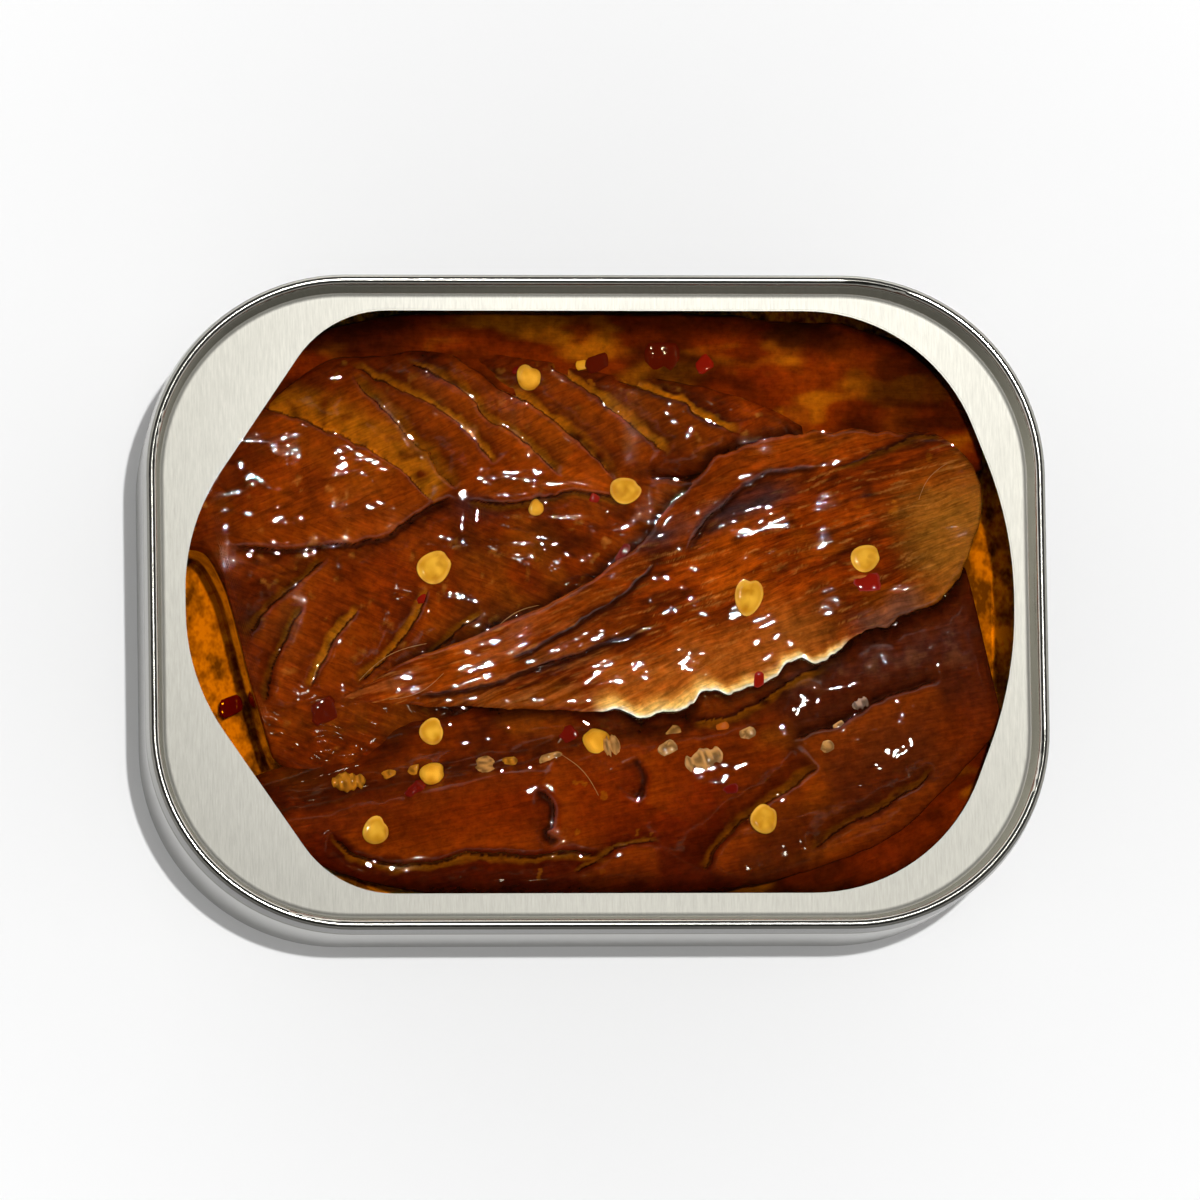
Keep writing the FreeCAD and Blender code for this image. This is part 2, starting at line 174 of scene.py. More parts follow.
class Crevice:
    """Where one flake laps another: a smooth line in plan. The flake on its left stands over the
    one on its right, which drops away beside it. Fat may show along the lower side."""

    def __init__(self, points, depth=0.9, lift=0.3, fat=0.0, fat_width=1.2, spread=1.5):
        self.depth, self.lift, self.fat = depth, lift, fat
        self.fat_width, self.spread = fat_width, spread
        p = np.array(points, float)
        ends = np.vstack([2 * p[0] - p[1], p, 2 * p[-1] - p[-2]])
        path = []
        for a, b, c, d in zip(ends, ends[1:], ends[2:], ends[3:]):
            for t in np.linspace(0, 1, 8, endpoint=False):
                path.append(0.5 * (
                    2 * b + (c - a) * t + (2 * a - 5 * b + 4 * c - d) * t ** 2
                    + (3 * b - a - 3 * c + d) * t ** 3
                ))
        self.path = np.array(path + [p[-1]])

    def measure(self, x, y, reach=7.0):
        """Signed distance, positive on the left, and how far along from 0 to 1."""
        shape = x.shape
        x, y = x.ravel(), y.ravel()
        away = np.full(x.shape, reach)
        along = np.zeros(x.shape)
        low, high = self.path.min(0) - reach, self.path.max(0) + reach
        near = np.nonzero((x > low[0]) & (x < high[0]) & (y > low[1]) & (y < high[1]))[0]
        if len(near):
            px, py = x[near], y[near]
            best, signed, share = np.full(len(near), 1e9), np.zeros(len(near)), np.zeros(len(near))
            count = len(self.path) - 1
            for k in range(count):
                (ax, ay), (bx, by) = self.path[k], self.path[k + 1]
                dx, dy = bx - ax, by - ay
                t = np.clip(((px - ax) * dx + (py - ay) * dy) / (dx * dx + dy * dy), 0, 1)
                ox, oy = px - ax - t * dx, py - ay - t * dy
                gap = np.hypot(ox, oy)
                closer = gap < best
                best = np.where(closer, gap, best)
                signed = np.where(closer, np.where(dx * oy - dy * ox > 0, gap, -gap), signed)
                share = np.where(closer, (k + t) / count, share)
            away[near], along[near] = np.clip(signed, -reach, reach), share
        return away.reshape(shape), along.reshape(shape)


def rim_painted_shade(x, y, tint):
    """Painted shade: flesh darkened towards the opening's edge, most at the back and the front."""
    inward = TIN_Y / 2 - np.abs(y) - 0.45 * smooth(30.0, 44.0, np.abs(x)) * 14.0
    ragged = 1.3 * fbm(x / 5.0, y / 5.0, 7, 3)
    low = smooth(8.6, 4.6, inward + ragged)
    return tint * (1 - 0.80 * low)[..., None]


def beside_centre(x, y, z, tint, depth):
    """The gap where the centre fillet lies over its neighbours: they sink there, and painted shade
    darkens them.
    """
    s, t = centre.place(x, y)
    edge = np.where(t < 0, -t - centre.width(s, False), t - centre.width(s, True))
    along = smooth(-31.0, -18.0, s) * smooth(46.0, 42.0, s)
    close = along * np.exp(-(np.clip(edge, 0, 99) / 1.9) ** 2)
    shade = along * np.exp(-(np.clip(edge, 0, 99) / 1.3) ** 2)
    hidden = smooth(-0.5, -2.2, edge) * smooth(-31.0, -26.0, s) * smooth(46.0, 43.0, s)
    z = z - 3.0 * hidden
    return z - depth * close, blend(tint, GAP_SHADE, 0.85 * shade)


def lay_flakes(crevices, x, y, z, tint, seed):
    """Steps, pillowed edges and fatty lines that the crevices leave, with a dark line of painted
    shade in each crevice, painted shade on the flake below and painted light on the flake above.
    """
    wander = 0.45 * fbm(x / 2.6, y / 2.6, seed + 81, 3) + 0.12 * fbm(x / 0.8, y / 0.8, seed + 84, 2)
    dark = np.zeros_like(z)
    fat = np.zeros_like(z)
    crest_light = np.zeros_like(z)
    for number, line in enumerate(crevices):
        d, u = line.measure(x, y)
        d = d + wander
        part = smooth(0.0, 0.10, u) * smooth(1.0, 0.90, u)
        upper = smooth(-0.16, 0.22, d)
        over = np.exp(-np.clip(d, 0, 99) / 3.2) * smooth(0.0, 0.9, d)
        under = np.exp(np.clip(d, -99, 0) / line.spread)
        z = z + part * (1.7 * upper * line.lift * over - 1.5 * (1 - upper) * line.depth * under)
        # painted shade: a dark line in the crevice and a darker band on the flake that drops away
        seam = np.exp(-((d + 0.12) / 0.30) ** 2)
        shade = (1 - upper) * np.exp(np.clip(d, -99, 0) / (1.15 * line.spread))
        dark = np.maximum(dark, part * np.clip(seam + 0.80 * shade, 0, 1))
        ragged = fbm(x / 2.2, y / 2.2, seed + 90 + number, 3)
        band = smooth(-line.fat_width - 0.2 + 0.8 * ragged, -0.40, d) * (d < -0.1)
        fat = np.maximum(fat, part * line.fat * band * smooth(-0.8, -0.1, ragged))
        # painted light: the flake that stands over the crevice is warmer and brighter
        crest_light = np.maximum(crest_light, part * smooth(0.2, 1.2, d) * np.exp(-np.clip(d, 0, 99) / 3.0))
    tint = blend(tint, FLESH_WARM, 0.70 * crest_light)
    tint = blend(tint, FLESH_DARK, np.clip(dark, 0, 1) * 0.93)
    tint = blend(tint, FAT, np.clip(fat, 0, 1) * 0.80)
    return z, tint


def wrinkle_lines(x, y, seed, size):
    """Thin wandering lines, 1 on a line and 0 beside it."""
    return smooth(0.16, 0.0, np.abs(fbm(x / size, y / size, seed, 3)))


def patches(x, y, seed, size=7.0):
    """Mottled smoked flesh, from mahogany to warm amber."""
    broad = fbm(x / size, y / size, seed, 3)
    fine = fbm(x / (0.42 * size), y / (0.42 * size), seed + 3, 4)
    tint = blend(FLESH_BROWN, FLESH, smooth(-0.50, 0.10, broad + 0.22 * fine))
    tint = blend(tint, FLESH_WARM, smooth(0.05, 0.75, broad + 0.30 * fine))
    amber = smooth(0.1, 0.6, fbm(x / size, y / size, seed + 9, 3))
    red = smooth(0.1, 0.6, fbm(x / size, y / size, seed + 12, 3))
    tint = blend(blend(tint, FLESH_AMBER, 0.6 * amber), FLESH_RED, 0.5 * red)
    return blend(tint, FLESH_DARK, 0.60 * smooth(0.15, 0.75, -broad - 0.3 * fine))


class Fillet:
    """A fillet along a straight axis. Its top is a height for each place (s, t): s mm along the
    axis in the tin's x, t mm across it, positive to the back."""

    def __init__(self, name, start, finish, stations, rim=2.5, shoulder=1.6, crease=0.2,
                 seed=1, ragged=0.4):
        self.name, self.start, self.finish = name, np.array(start), np.array(finish)
        self.table = np.array(stations, float)
        self.rim, self.shoulder, self.crease = rim, shoulder, crease
        self.seed, self.ragged = seed, ragged
        way = self.finish - self.start
        self.along = way / np.hypot(*way)
        self.across = np.array([-self.along[1], self.along[0]])
        self.slope = way[1] / way[0]

    def width(self, s, back):
        """Width at s of the back side or the front side."""
        column = 1 if back else 2
        w = curve_through(self.table[:, 0], self.table[:, column], s)
        wobble = self.grain(s / 4.3, np.full_like(s, 3.0 * column), 5, 4)
        return np.maximum(w + self.ragged * wobble * np.minimum(1, w / 4), 0.05)

    def grain(self, x, y, key, octaves=3):
        """Noise that is this fillet's own, and another one for each key."""
        return fbm(x, y, self.seed + key, octaves)

    def drop(self, s):
        """How far the top lies below the highest fish."""
        return curve_through(self.table[:, 0], self.table[:, 3], s)

    def plan(self, s, t):
        """x and y of a place."""
        x = s + self.across[0] * t
        y = self.start[1] + (s - self.start[0]) * self.slope + self.across[1] * t
        return x, y

    def place(self, x, y):
        """s and t of a point in plan."""
        dx, dy = x - self.start[0], y - self.start[1]
        t = dx * self.across[0] + dy * self.across[1]
        return x - self.across[0] * t, t

    def form(self, s, t):
        """The plain loaf shape: crown, rounded flanks and ends, middle crease."""
        w = np.where(t >= 0, self.width(s, True), self.width(s, False))
        side = w - np.abs(t)
        end = np.minimum(s - self.table[0, 0], self.table[-1, 0] - s) + 0.3
        near = np.clip(np.minimum(side, end * 1.5) / self.rim, 0, 1)
        fall = 1 - np.sqrt(np.clip(1 - (1 - near) ** 2, 0, 1))
        z = FISH_TOP - self.drop(s) - self.shoulder * fall
        z = z - self.crease * np.exp(-(t / 1.6) ** 2)
        return z, side, near

    def detail(self, s, t, z, side, near):
        """Height and colour of the flakes and fibres. Each fillet has its own."""
        raise NotImplementedError

    def surface(self, s, t):
        """Height, colour and flow of the top."""
        z, side, near = self.form(s, t)
        z, tint, flow = self.detail(s, t, z, side, near)
        # painted shade darkens the flesh towards the opening's edge
        return self.ceiling(z), rim_painted_shade(*self.plan(s, t), tint), flow

    @staticmethod
    def ceiling(z):
        """Bumps flatten softly below the highest point that the fish may reach."""
        over = (z - FISH_TOP + 0.25) / 0.3
        return np.where(over > 0, FISH_TOP - 0.25 + 0.36 * np.tanh(over * 0.8), z)

    def top_at(self, x, y):
        """Height of the top at points in plan, and a very low one outside the fillet."""
        s, t = self.place(x, y)
        z, side, near = self.form(s, t)
        z, _, _ = self.detail(s, t, z, side, near)
        inside = (side > 0) & (s > self.table[0, 0]) & (s < self.table[-1, 0])
        return np.where(inside, self.ceiling(z), -5.0)

    def under(self, k):
        """How far the flank stands in and down at its k-th row below the top."""
        rows = (0.15, 0.35), (0.30, 0.9), (0.25, 2.2), (0.0, 5.0), (0.0, 9.0), (0.0, 13.5)
        return rows[k]

    def build(self, material):
        """The closed mesh: the top, a flank on each side of it and both ends."""
        s0, s1 = self.table[0, 0], self.table[-1, 0]
        rows = int((s1 - s0) / (STEP * 1.05)) + 1
        widest = (self.table[:, 1] + self.table[:, 2]).max()
        columns = int(widest / (STEP * 1.05)) + 1
        s = np.linspace(s0, s1, rows)[:, None]
        share = np.linspace(-1, 1, columns)[None, :]
        wb, wf = self.width(s, True), self.width(s, False)
        mid = (wb - wf) / 2
        half = (wb + wf) / 2
        t = mid + half * share * 0.999
        s = s + 0 * t
        x, y = self.plan(s, t)
        z, tint, flow = self.surface(s, t)
        top = np.stack([x, y, z], -1)
        sides = {}
        for edge, way in ((-1, -1), (0, 1)):
            column = top[:, edge]
            levels = []
            for k in range(FLANK_ROWS):
                inward, down = self.under(k)
                p = column.copy()
                p[:, :2] += self.across * inward * way
                lowest = FLOOR_TOP + 0.2 + 0.1 * (FLANK_ROWS - k)
                p[:, 2] = np.maximum(column[:, 2] - down, lowest)
                levels.append(p)
            sides[edge] = np.stack(levels, 1)
        ring = np.concatenate([top, sides[-1], sides[0][:, ::-1]], 1)
        verts, faces = tube_of_rings(ring)

        def wrapped(values, share):
            """Values of the top carried down both flanks and scaled there by share, with one more
            for each end.
            """
            back, fore = (np.repeat(values[:, [e]], FLANK_ROWS, 1) * share for e in (-1, 0))
            round_it = np.concatenate([values, back, fore], 1)
            ends = [round_it[e].mean(0) for e in (0, -1)]
            return np.vstack([round_it.reshape(-1, values.shape[-1]), ends])

        # the flanks take the top's colour at 0.6 of its brightness: painted shade down the sides
        obj = mesh_object(self.name, verts, faces, wrapped(tint, 0.6), wrapped(flow, 1.0))
        obj.data.materials.append(material)
        return obj


# Each crevice has its points from end to end, then depth, lift, fat, fat width and spread.
LEFT_CREVICES = [
    # back loin, from the tail of the tin to its middle; each flake laps the one behind it
    Crevice(
        [(-18.0, 11.8), (-22.5, 16.2), (-26.5, 18.6), (-31.5, 21.2), (-40.5, 24.2)],
        1.2, 0.5, 1.0, 5.0, 2.8,
    ),
    Crevice([(-15.5, 13.4), (-20.0, 18.8), (-23.2, 22.0), (-28.2, 27.2)], 1.0, 0.35, 0.4, 1.4, 2.2),
    Crevice([(-11.5, 16.4), (-14.0, 20.0), (-19.0, 23.8), (-28.5, 28.6)], 0.9, 0.3, 0.7, 0.9, 1.8),
    Crevice(
        [(-3.0, 14.8), (-8.2, 19.8), (-11.8, 22.0), (-15.0, 25.5), (-22.0, 29.4)],
        1.0, 0.4, 0.45, 0.8, 2.2,
    ),
    Crevice(
        [(3.2, 14.4), (-2.0, 20.0), (-6.0, 23.2), (-10.6, 25.8), (-17.0, 30.0)],
        1.0, 0.4, 0.8, 1.0, 2.2,
    ),
    Crevice([(9.0, 17.5), (3.8, 22.2), (-0.2, 25.4), (-5.2, 28.6)], 1.0, 0.4, 0.8, 1.1, 2.2),
    Crevice([(17.4, 20.0), (12.2, 22.8), (10.6, 24.3), (2.3, 26.6)], 0.8, 0.3, 1.0, 0.9, 1.6),
    Crevice([(19.0, 16.2), (12.0, 15.0), (6.5, 15.2)], 0.9, 0.4, 0.0, 0.8, 1.4),
    # front loin
    Crevice([(-30.8, 6.1), (-35.1, 2.6), (-38.8, -0.9), (-40.8, -3.8)], 1.0, 0.35, 0.2, 0.8, 2.2),
    Crevice(
        [(-33.8, 0.6), (-36.2, -4.4), (-37.4, -7.6), (-38.2, -11.4)],
        1.0, 0.35, 0.25, 0.9, 1.8,
    ),
    Crevice([(-27.2, 0.0), (-30.2, -3.6), (-31.4, -6.0), (-33.2, -9.6)], 0.7, 0.25, 0.95, 1.1, 1.2),
    Crevice([(-19.0, 2.2), (-22.4, -4.0), (-27.8, -9.2)], 0.6, 0.2, 0.8, 1.0, 1.2),
    Crevice([(-12.8, -0.5), (-16.8, -3.6), (-20.8, -6.8), (-23.4, -8.0)], 0.6, 0.2, 0.5, 0.8, 1.2),
    # the line between the loins
    Crevice(
        [(-43.0, 7.2), (-36.5, 6.6), (-30.0, 7.3), (-24.5, 8.0), (-20.0, 11.0), (-15.5, 13.0)],
        1.1, 0.4, 0.0, 1.0, 1.3,
    ),
    Crevice([(-15.0, 12.6), (-9.0, 12.0), (-2.5, 13.4), (5.0, 12.4)], 0.8, 0.3, 0.2, 0.8, 1.3),
]

CENTRE_CREVICES = [
    Crevice([(-10.5, -6.6), (-4.0, -3.0), (3.0, 1.2), (7.5, 5.4)], 0.5, 0.25, 0.0, 1.0, 1.2),
    Crevice([(10.0, 5.8), (15.5, 12.6), (19.5, 15.3), (27.0, 16.6)], 0.9, 0.4, 0.0, 1.0, 1.4),
    Crevice([(-22.0, -10.8), (-12.0, -9.0), (-3.0, -5.6), (7.0, -2.4)], 0.6, 0.25, 0.0, 1.0, 1.2),
    Crevice([(27.5, 16.0), (33.5, 18.2), (38.0, 20.2), (41.0, 20.0)], 0.5, 0.25, 0.2, 0.6, 1.0),
]

FRONT_CREVICES = [
    # the crack between the two smooth lobes, and the folds under them
    Crevice(
        [(-7.4, -21.5), (-5.4, -22.7), (-5.2, -25.4), (-6.2, -26.2), (-4.3, -27.7)],
        0.9, 0.35, 0.0, 1.0, 1.3,
    ),
    Crevice(
        [
            (-31.5, -26.2), (-27.5, -29.2), (-20.0, -30.0), (-14.0, -28.6), (-9.5, -29.2),
            (-4.0, -28.6), (2.0, -29.0),
        ],
        1.2, 0.4, 0.4, 0.7, 1.8,
    ),
    Crevice([(4.5, -17.5), (5.7, -20.2), (4.7, -23.0)], 0.4, 0.15, 0.0, 0.8, 1.4),
    Crevice([(7.4, -27.4), (3.2, -27.8), (0.0, -29.6), (-3.0, -30.8)], 0.5, 0.2, 0.3, 0.5, 1.2),
    Crevice(
        [(26.0, -18.4), (22.8, -20.7), (19.8, -23.0), (14.4, -27.4), (12.4, -31.0)],
        1.5, 0.5, 0.35, 1.0, 2.2,
    ),
    Crevice([(40.0, -19.0), (33.5, -23.2), (29.0, -25.6), (24.5, -28.5)], 0.8, 0.3, 0.2, 0.8, 1.6),
    Crevice([(40.6, -8.5), (34.0, -10.5), (28.0, -13.6), (22.5, -16.0)], 0.8, 0.35, 0.0, 0.8, 1.4),
    Crevice([(11.0, -13.4), (16.0, -12.6), (21.5, -9.2), (27.0, -6.4)], 0.7, 0.3, 0.5, 1.0, 1.4),
]


class LeftFillet(Fillet):
    def detail(self, s, t, z, side, near):
        x, y = self.plan(s, t)
        z = z - 0.45 + 0.50 * self.grain(s / 8.0, t / 6.5, 20, 2)
        specks = smooth(-0.3, 0.3, self.grain(s / 7.0, t / 7.0, 41, 2))
        z = z + 0.07 * specks * self.grain(s / 1.9, t / 1.4, 40)
        fold = wrinkle_lines(s * 0.8 + t * 0.5, t * 1.3, self.seed + 42, 4.2)
        z = z - 0.07 * fold
        z = z - 0.55 * smooth(9, 16, t) * smooth(-30, 0, s)
        z = z - 0.5 * smooth(-10, -20, t) * smooth(-14, -26, s)
        run = np.where(t >= 0, 0.25, -0.55)
        u, v = s * np.cos(run) + t * np.sin(run), -s * np.sin(run) + t * np.cos(run)
        tint = patches(x, y, self.seed + 50)
        tint = blend(tint, FLESH_RED, 0.45 * smooth(0.0, 0.6, self.grain(x / 6, y / 6, 61)))
        streak = self.grain(u / 3.4, v / 0.62, 30)
        tint = tint * (1 + 0.22 * streak)[..., None]
        # painted shade along the folds
        tint = blend(tint, FLESH_DARK, 0.42 * fold)
        pale = smooth(0.42, 0.75, self.grain(x / 1.5, y / 1.5, 66))
        tint = blend(tint, PALE_SPECK, 0.5 * pale)
        middle = np.exp(-(t / 1.3) ** 2) * smooth(-0.3, 0.5, self.grain(x / 3, y / 3, 62))
        tint = blend(tint, FLESH_DARK, 0.7 * middle)
        purple = np.exp(-(((x + 13.5) / 3.6) ** 2 + ((y - 11.6) / 1.7) ** 2) ** 2)
        tint = blend(tint, PURPLE, 0.8 * purple * smooth(-0.5, 0.2, streak + 0.3))
        z, tint = lay_flakes(LEFT_CREVICES, x, y, z, tint, self.seed)
        z, tint = beside_centre(x, y, z, tint, 0.5)
        # painted shade: darker towards the back and where the front end lies low
        front_low_shade = smooth(-9, -24, t) * smooth(-18, -34, s)
        tint = tint * (1 - 0.45 * smooth(11, 19, t) - 0.25 * front_low_shade)[..., None]
        return z, tint, np.stack([u, v, 0 * u], -1)


class CentreFillet(Fillet):
    def detail(self, s, t, z, side, near):
        # fibres run along the fillet, fanning and wandering, in bundles
        x, y = self.plan(s, t)
        fan = t + 0.06 * (s + 30) * np.sin(t / 8.0) + 1.3 * fbm(s / 11.0, t / 7.0, self.seed, 3)
        bundle = self.grain(s / 13.0, fan / 2.6, 10, 2)
        fibre = self.grain(s / 3.6, fan / 0.55, 20)
        break_up = self.grain(s / 1.7, fan / 1.1, 25)
        rough = smooth(34, 27, s)
        z = z - 0.2 + 0.26 * bundle + (0.018 * fibre + 0.062 * break_up) * rough
        z = z + 0.40 * self.grain(s / 8.0, t / 6.0, 30, 2)
        ridge = np.exp(-((t - 5.5 + 1.0 * break_up) / 1.2) ** 2)
        ridge = ridge * smooth(4, 10, s) * smooth(27, 22, s)
        z = z + 0.2 * ridge
        # the torn front edge: thin, pale and scalloped
        torn = smooth(-4.2, -2.2, s) * smooth(25.5, 22.5, s) * (t < 0)
        reach = 3.0 - 0.06 * np.clip(s, 0, 22) + 0.9 * self.grain(s / 1.9, t / 1.9, 40)
        pale = smooth(reach, 0.35 * reach, side) * torn
        lip = np.exp(-((side - 0.55) / 0.55) ** 2) * torn
        z = z + 0.32 * lip + 0.12 * pale
        tint = patches(s / 1.7, fan, self.seed + 50, 4.5)
        tint = blend(tint, FLESH_RED, 0.35 * smooth(0, 8, t) * smooth(0.6, -0.2, fibre))
        tint = tint * np.clip(1 + 0.60 * fibre + 0.25 * bundle, 0.15, 2)[..., None]
        pale_fibre = smooth(0.25, 0.6, self.grain(s / 2.6, fan / 0.34, 22))
        pale_fibre = pale_fibre * smooth(-3.0, 3.0, 8 - t)
        tint = blend(tint, PALE_FIBRE, 0.45 * pale_fibre)
        dark = smooth(0.15, 0.65, self.grain(s / 3.0, fan / 1.4, 60))
        tint = blend(tint, FLESH_DARK, 0.65 * dark)
        low_tail = smooth(2, -6, s) * smooth(0.0, 0.45, fibre + 0.2)
        tint = blend(tint, TAIL_TAN, 0.4 * low_tail)
        tint = blend(tint, GREY_SKIN, 0.85 * ridge)
        skin = smooth(24.5, 28.0, s) * smooth(36.0, 33.0, s) * smooth(4.0, 1.2, side) * (t < 0)
        tint = blend(tint, BROWN_SKIN, 0.65 * skin * smooth(-0.4, 0.2, fibre + 0.2))
        inner = smooth(9.5, 4.0, side) * smooth(-3.5, 0.0, s) * smooth(27.0, 20.0, s) * (t < 0)
        tint = blend(tint, INNER_GLOW, 0.60 * inner)
        tint = blend(tint, TORN_AMBER, 0.85 * pale)
        tint = blend(tint, TORN_GOLD, 0.9 * smooth(0.62 * reach, 0.3 * reach, side) * torn)
        tint = blend(tint, CREAM, 0.9 * smooth(0.9, 0.35, side) * torn)
        tint = blend(tint, WHITE_RIM, smooth(0.40, 0.10, side) * torn)
        end = smooth(32, 39, s) * smooth(4, -3, t)
        tint = blend(tint, END_OCHRE, 0.75 * end)
        high = z
        z, tint = lay_flakes(CENTRE_CREVICES, x, y, z, tint, self.seed)
        z = high + 0.45 * (z - high)
        return z, tint, np.stack([s, fan, 0 * s], -1)

    def form(self, s, t):
        """The torn front edge doesn't round down into the fish under it."""
        z, side, near = super().form(s, t)
        fall = 1 - np.sqrt(np.clip(1 - (1 - near) ** 2, 0, 1))
        held = smooth(-7.0, -2.0, s) * smooth(31.0, 26.0, s) * (t < 0)
        return z + self.shoulder * fall * held * 0.85, side, near

    def width(self, s, back):
        """The front edge is torn into uneven scallops."""
        w = super().width(s, back)
        if back:
            return w + 0.4 * self.grain(s / 1.5, 0 * s, 48) * smooth(6.0, 14.0, s)
        plain_end = smooth(24.0, 28.0, s) * smooth(44.5, 42.0, s)
        w = w + 0.4 * self.grain(s / 1.5, 0 * s, 49) * plain_end
        torn = smooth(-3.0, 0.0, s) * smooth(27.0, 23.0, s)
        swell = 0.60 * np.sin(0.52 * s + 0.4) + 0.40 * np.sin(1.17 * s + 1.0)
        swell = swell + 0.5 * self.grain(s / 1.3, 0 * s, 44)
        notch = 1.1 * np.exp(-((s - 17.2) / 1.2) ** 2)
        return w + torn * (swell - notch)

    def under(self, k):
        rows = (0.25, 0.25), (0.9, 0.45), (1.3, 1.1), (1.0, 4.0), (0.6, 9.0), (0.3, 13.5)
        return rows[k]


class FrontFillet(Fillet):
    def detail(self, s, t, z, side, near):
        x, y = self.plan(s, t)
        z = z - 0.35 + 0.55 * self.grain(s / 9.0, t / 5.5, 20, 2)
        lumpy = self.grain(s / 1.6, t / 1.6, 35)
        wrinkle = self.grain(s / 4.0, t / 2.4, 36)
        right = smooth(16, 22, s + 0.4 * t + 2 * self.grain(s / 4, t / 4, 37, 2))
        z = z + 0.015 * lumpy + right * (0.15 * wrinkle + 0.045 * lumpy)
        # the ragged valley that the backbone left, and the outer side that runs down into the oil
        valley = np.exp(-((t + 1.2 + 0.5 * wrinkle) / 1.7) ** 2) * smooth(24, 16, s)
        ridge = np.exp(-((t - 0.8 + 1.2 * wrinkle) / 1.8) ** 2) * smooth(19, 24, s)
        z = z - 0.95 * valley + 0.35 * ridge * (0.4 + lumpy) - 1.1 * smooth(-10, -19, t)
        tint = patches(s, t * 1.4, self.seed + 50, 8.0)
        lobe = smooth(-3, -6, t) * smooth(14, 10, s)
        fold = wrinkle_lines(s * 0.7, t * 1.5, self.seed + 42, 4.8)
        # painted shade along the folds
        tint = blend(tint, FLESH_DARK, 0.35 * fold)
        tint = blend(tint, LOBE_RED, 0.80 * lobe)
        tint = tint * (1 - 0.42 * smooth(-14, -26, s))[..., None]
        belt = smooth(-6.5, -3.0, t) * smooth(2.0, -2.0, t) * smooth(14, 8, s)
        tint = blend(tint, FLESH_RED, 0.8 * belt)
        tint = blend(tint, FLESH_DARK, 0.75 * valley * smooth(-0.5, 0.2, lumpy + 0.2))
        # painted shade: darker on the outer side as it runs down into the oil
        tint = blend(tint, FLESH_DARK, 0.55 * smooth(-11.5, -17.0, t))
        tint = blend(tint, MAHOGANY, 0.90 * right)
        tint = blend(tint, FLESH_BROWN, 0.5 * right * smooth(0.0, 0.5, wrinkle))
        tint = blend(tint, FLESH, 0.6 * smooth(34, 40, s) * smooth(-4, -10, t))
        tint = blend(tint, GREY_SKIN, 0.45 * ridge * smooth(-0.5, 0.5, lumpy))
        crumbs = smooth(0.05, 0.6, lumpy) * np.exp(-((t - 0.2) / 2.2) ** 2) * smooth(14, 22, s)
        tint = blend(tint, CRUMB_BROWN, 0.4 * crumbs)
        z, tint = lay_flakes(FRONT_CREVICES, x, y, z, tint, self.seed)
        z, tint = beside_centre(x, y, z, tint, 1.6)
        return z, tint, np.stack([s, t, 0 * s], -1)


class LowerFillet(Fillet):
    def detail(self, s, t, z, side, near):
        x, y = self.plan(s, t)
        z = z + 0.55 * fbm(s / 6, t / 4, self.seed, 3)
        tint = patches(x, y, self.seed + 10, 9.0)
        ochre = smooth(0.10, 0.5, self.grain(s / 8.0, t / 3.4, 20))
        tint = blend(tint, SUNK_OCHRE, 0.75 * ochre)
        red = smooth(0.1, 0.5, self.grain(s / 4, t / 4, 25, 2))
        dark = smooth(-0.15, 0.5, self.grain(s / 8.0, t / 4.5, 30))
        tint = blend(blend(tint, SUNK_RED, 0.6 * red), FLESH_DARK, 0.85 * dark)
        return z, tint, np.stack([s, t, 0 * s], -1)


left = LeftFillet(
    "left_fillet", (-47.5, 7.5), (25.0, 19.0),
    [
        (-47.5, 4.0, 0.5, 1.6), (-45.5, 7.0, 1.5, 0.7), (-43.8, 10.0, 6.0, 0.4),
        (-42.8, 10.8, 17.0, 0.4), (-41.5, 11.8, 26.5, 0.4), (-37.0, 13.8, 29.5, 0.3),
        (-27.0, 18.5, 29.0, 0.1), (-14.0, 17.5, 22.0, 0.0), (0.0, 13.5, 18.0, 0.0),
        (12.0, 9.5, 12.0, 0.1), (20.0, 6.0, 7.0, 0.2), (25.0, 2.5, 3.0, 0.4),
    ],
    seed=11,
)
centre = CentreFillet(
    "centre_fillet", (-31.0, -11.0), (45.0, 15.4),
    [
        (-31.0, 0.6, 0.6, 0.9), (-20.0, 1.6, 4.5, 0.3), (-5.0, 2.4, 10.8, 0.1),
        (5.0, 4.5, 14.0, 0.0), (13.0, 9.5, 14.6, 0.0), (20.0, 12.5, 14.4, 0.0),
        (28.0, 11.5, 12.6, 0.0), (36.0, 8.7, 12.3, 0.1), (40.5, 7.0, 9.0, 0.3),
        (43.0, 5.0, 6.0, 0.5), (44.4, 3.2, 3.4, 0.8), (45.0, 1.6, 1.6, 1.1),
    ],
    rim=1.5, shoulder=0.9, crease=0.0, seed=23, ragged=0.7,
)
front = FrontFillet(
    "front_fillet", (-37.0, -22.2), (45.5, -4.1),
    [
        (-42.5, 2.0, 2.5, 1.9), (-38.0, 3.5, 6.0, 1.3), (-28.0, 4.5, 12.0, 0.5),
        (-18.0, 6.0, 16.0, 0.2), (0.0, 9.0, 20.0, 0.2), (15.0, 10.5, 22.0, 0.2),
        (28.0, 12.0, 20.5, 0.1), (38.0, 12.0, 15.0, 0.2), (44.0, 10.5, 11.0, 0.4),
        (45.5, 9.5, 9.5, 0.7),
    ],
    rim=3.0, shoulder=1.6, crease=0.1, seed=37,
)
lower_back = LowerFillet(
    "lower_back_fillet", (-42.0, 24.0), (46.0, 22.5),
    [
        (-42.0, 4.0, 4.0, 2.9), (-30.0, 9.5, 9.0, 2.6), (-14.0, 12.0, 8.0, 2.4),
        (6.0, 12.0, 10.0, 2.4), (26.0, 11.0, 9.0, 2.6), (37.0, 9.0, 10.0, 2.7),
        (46.0, 4.5, 6.0, 3.8),
    ],
    rim=3.0, shoulder=2.6, seed=41,
)
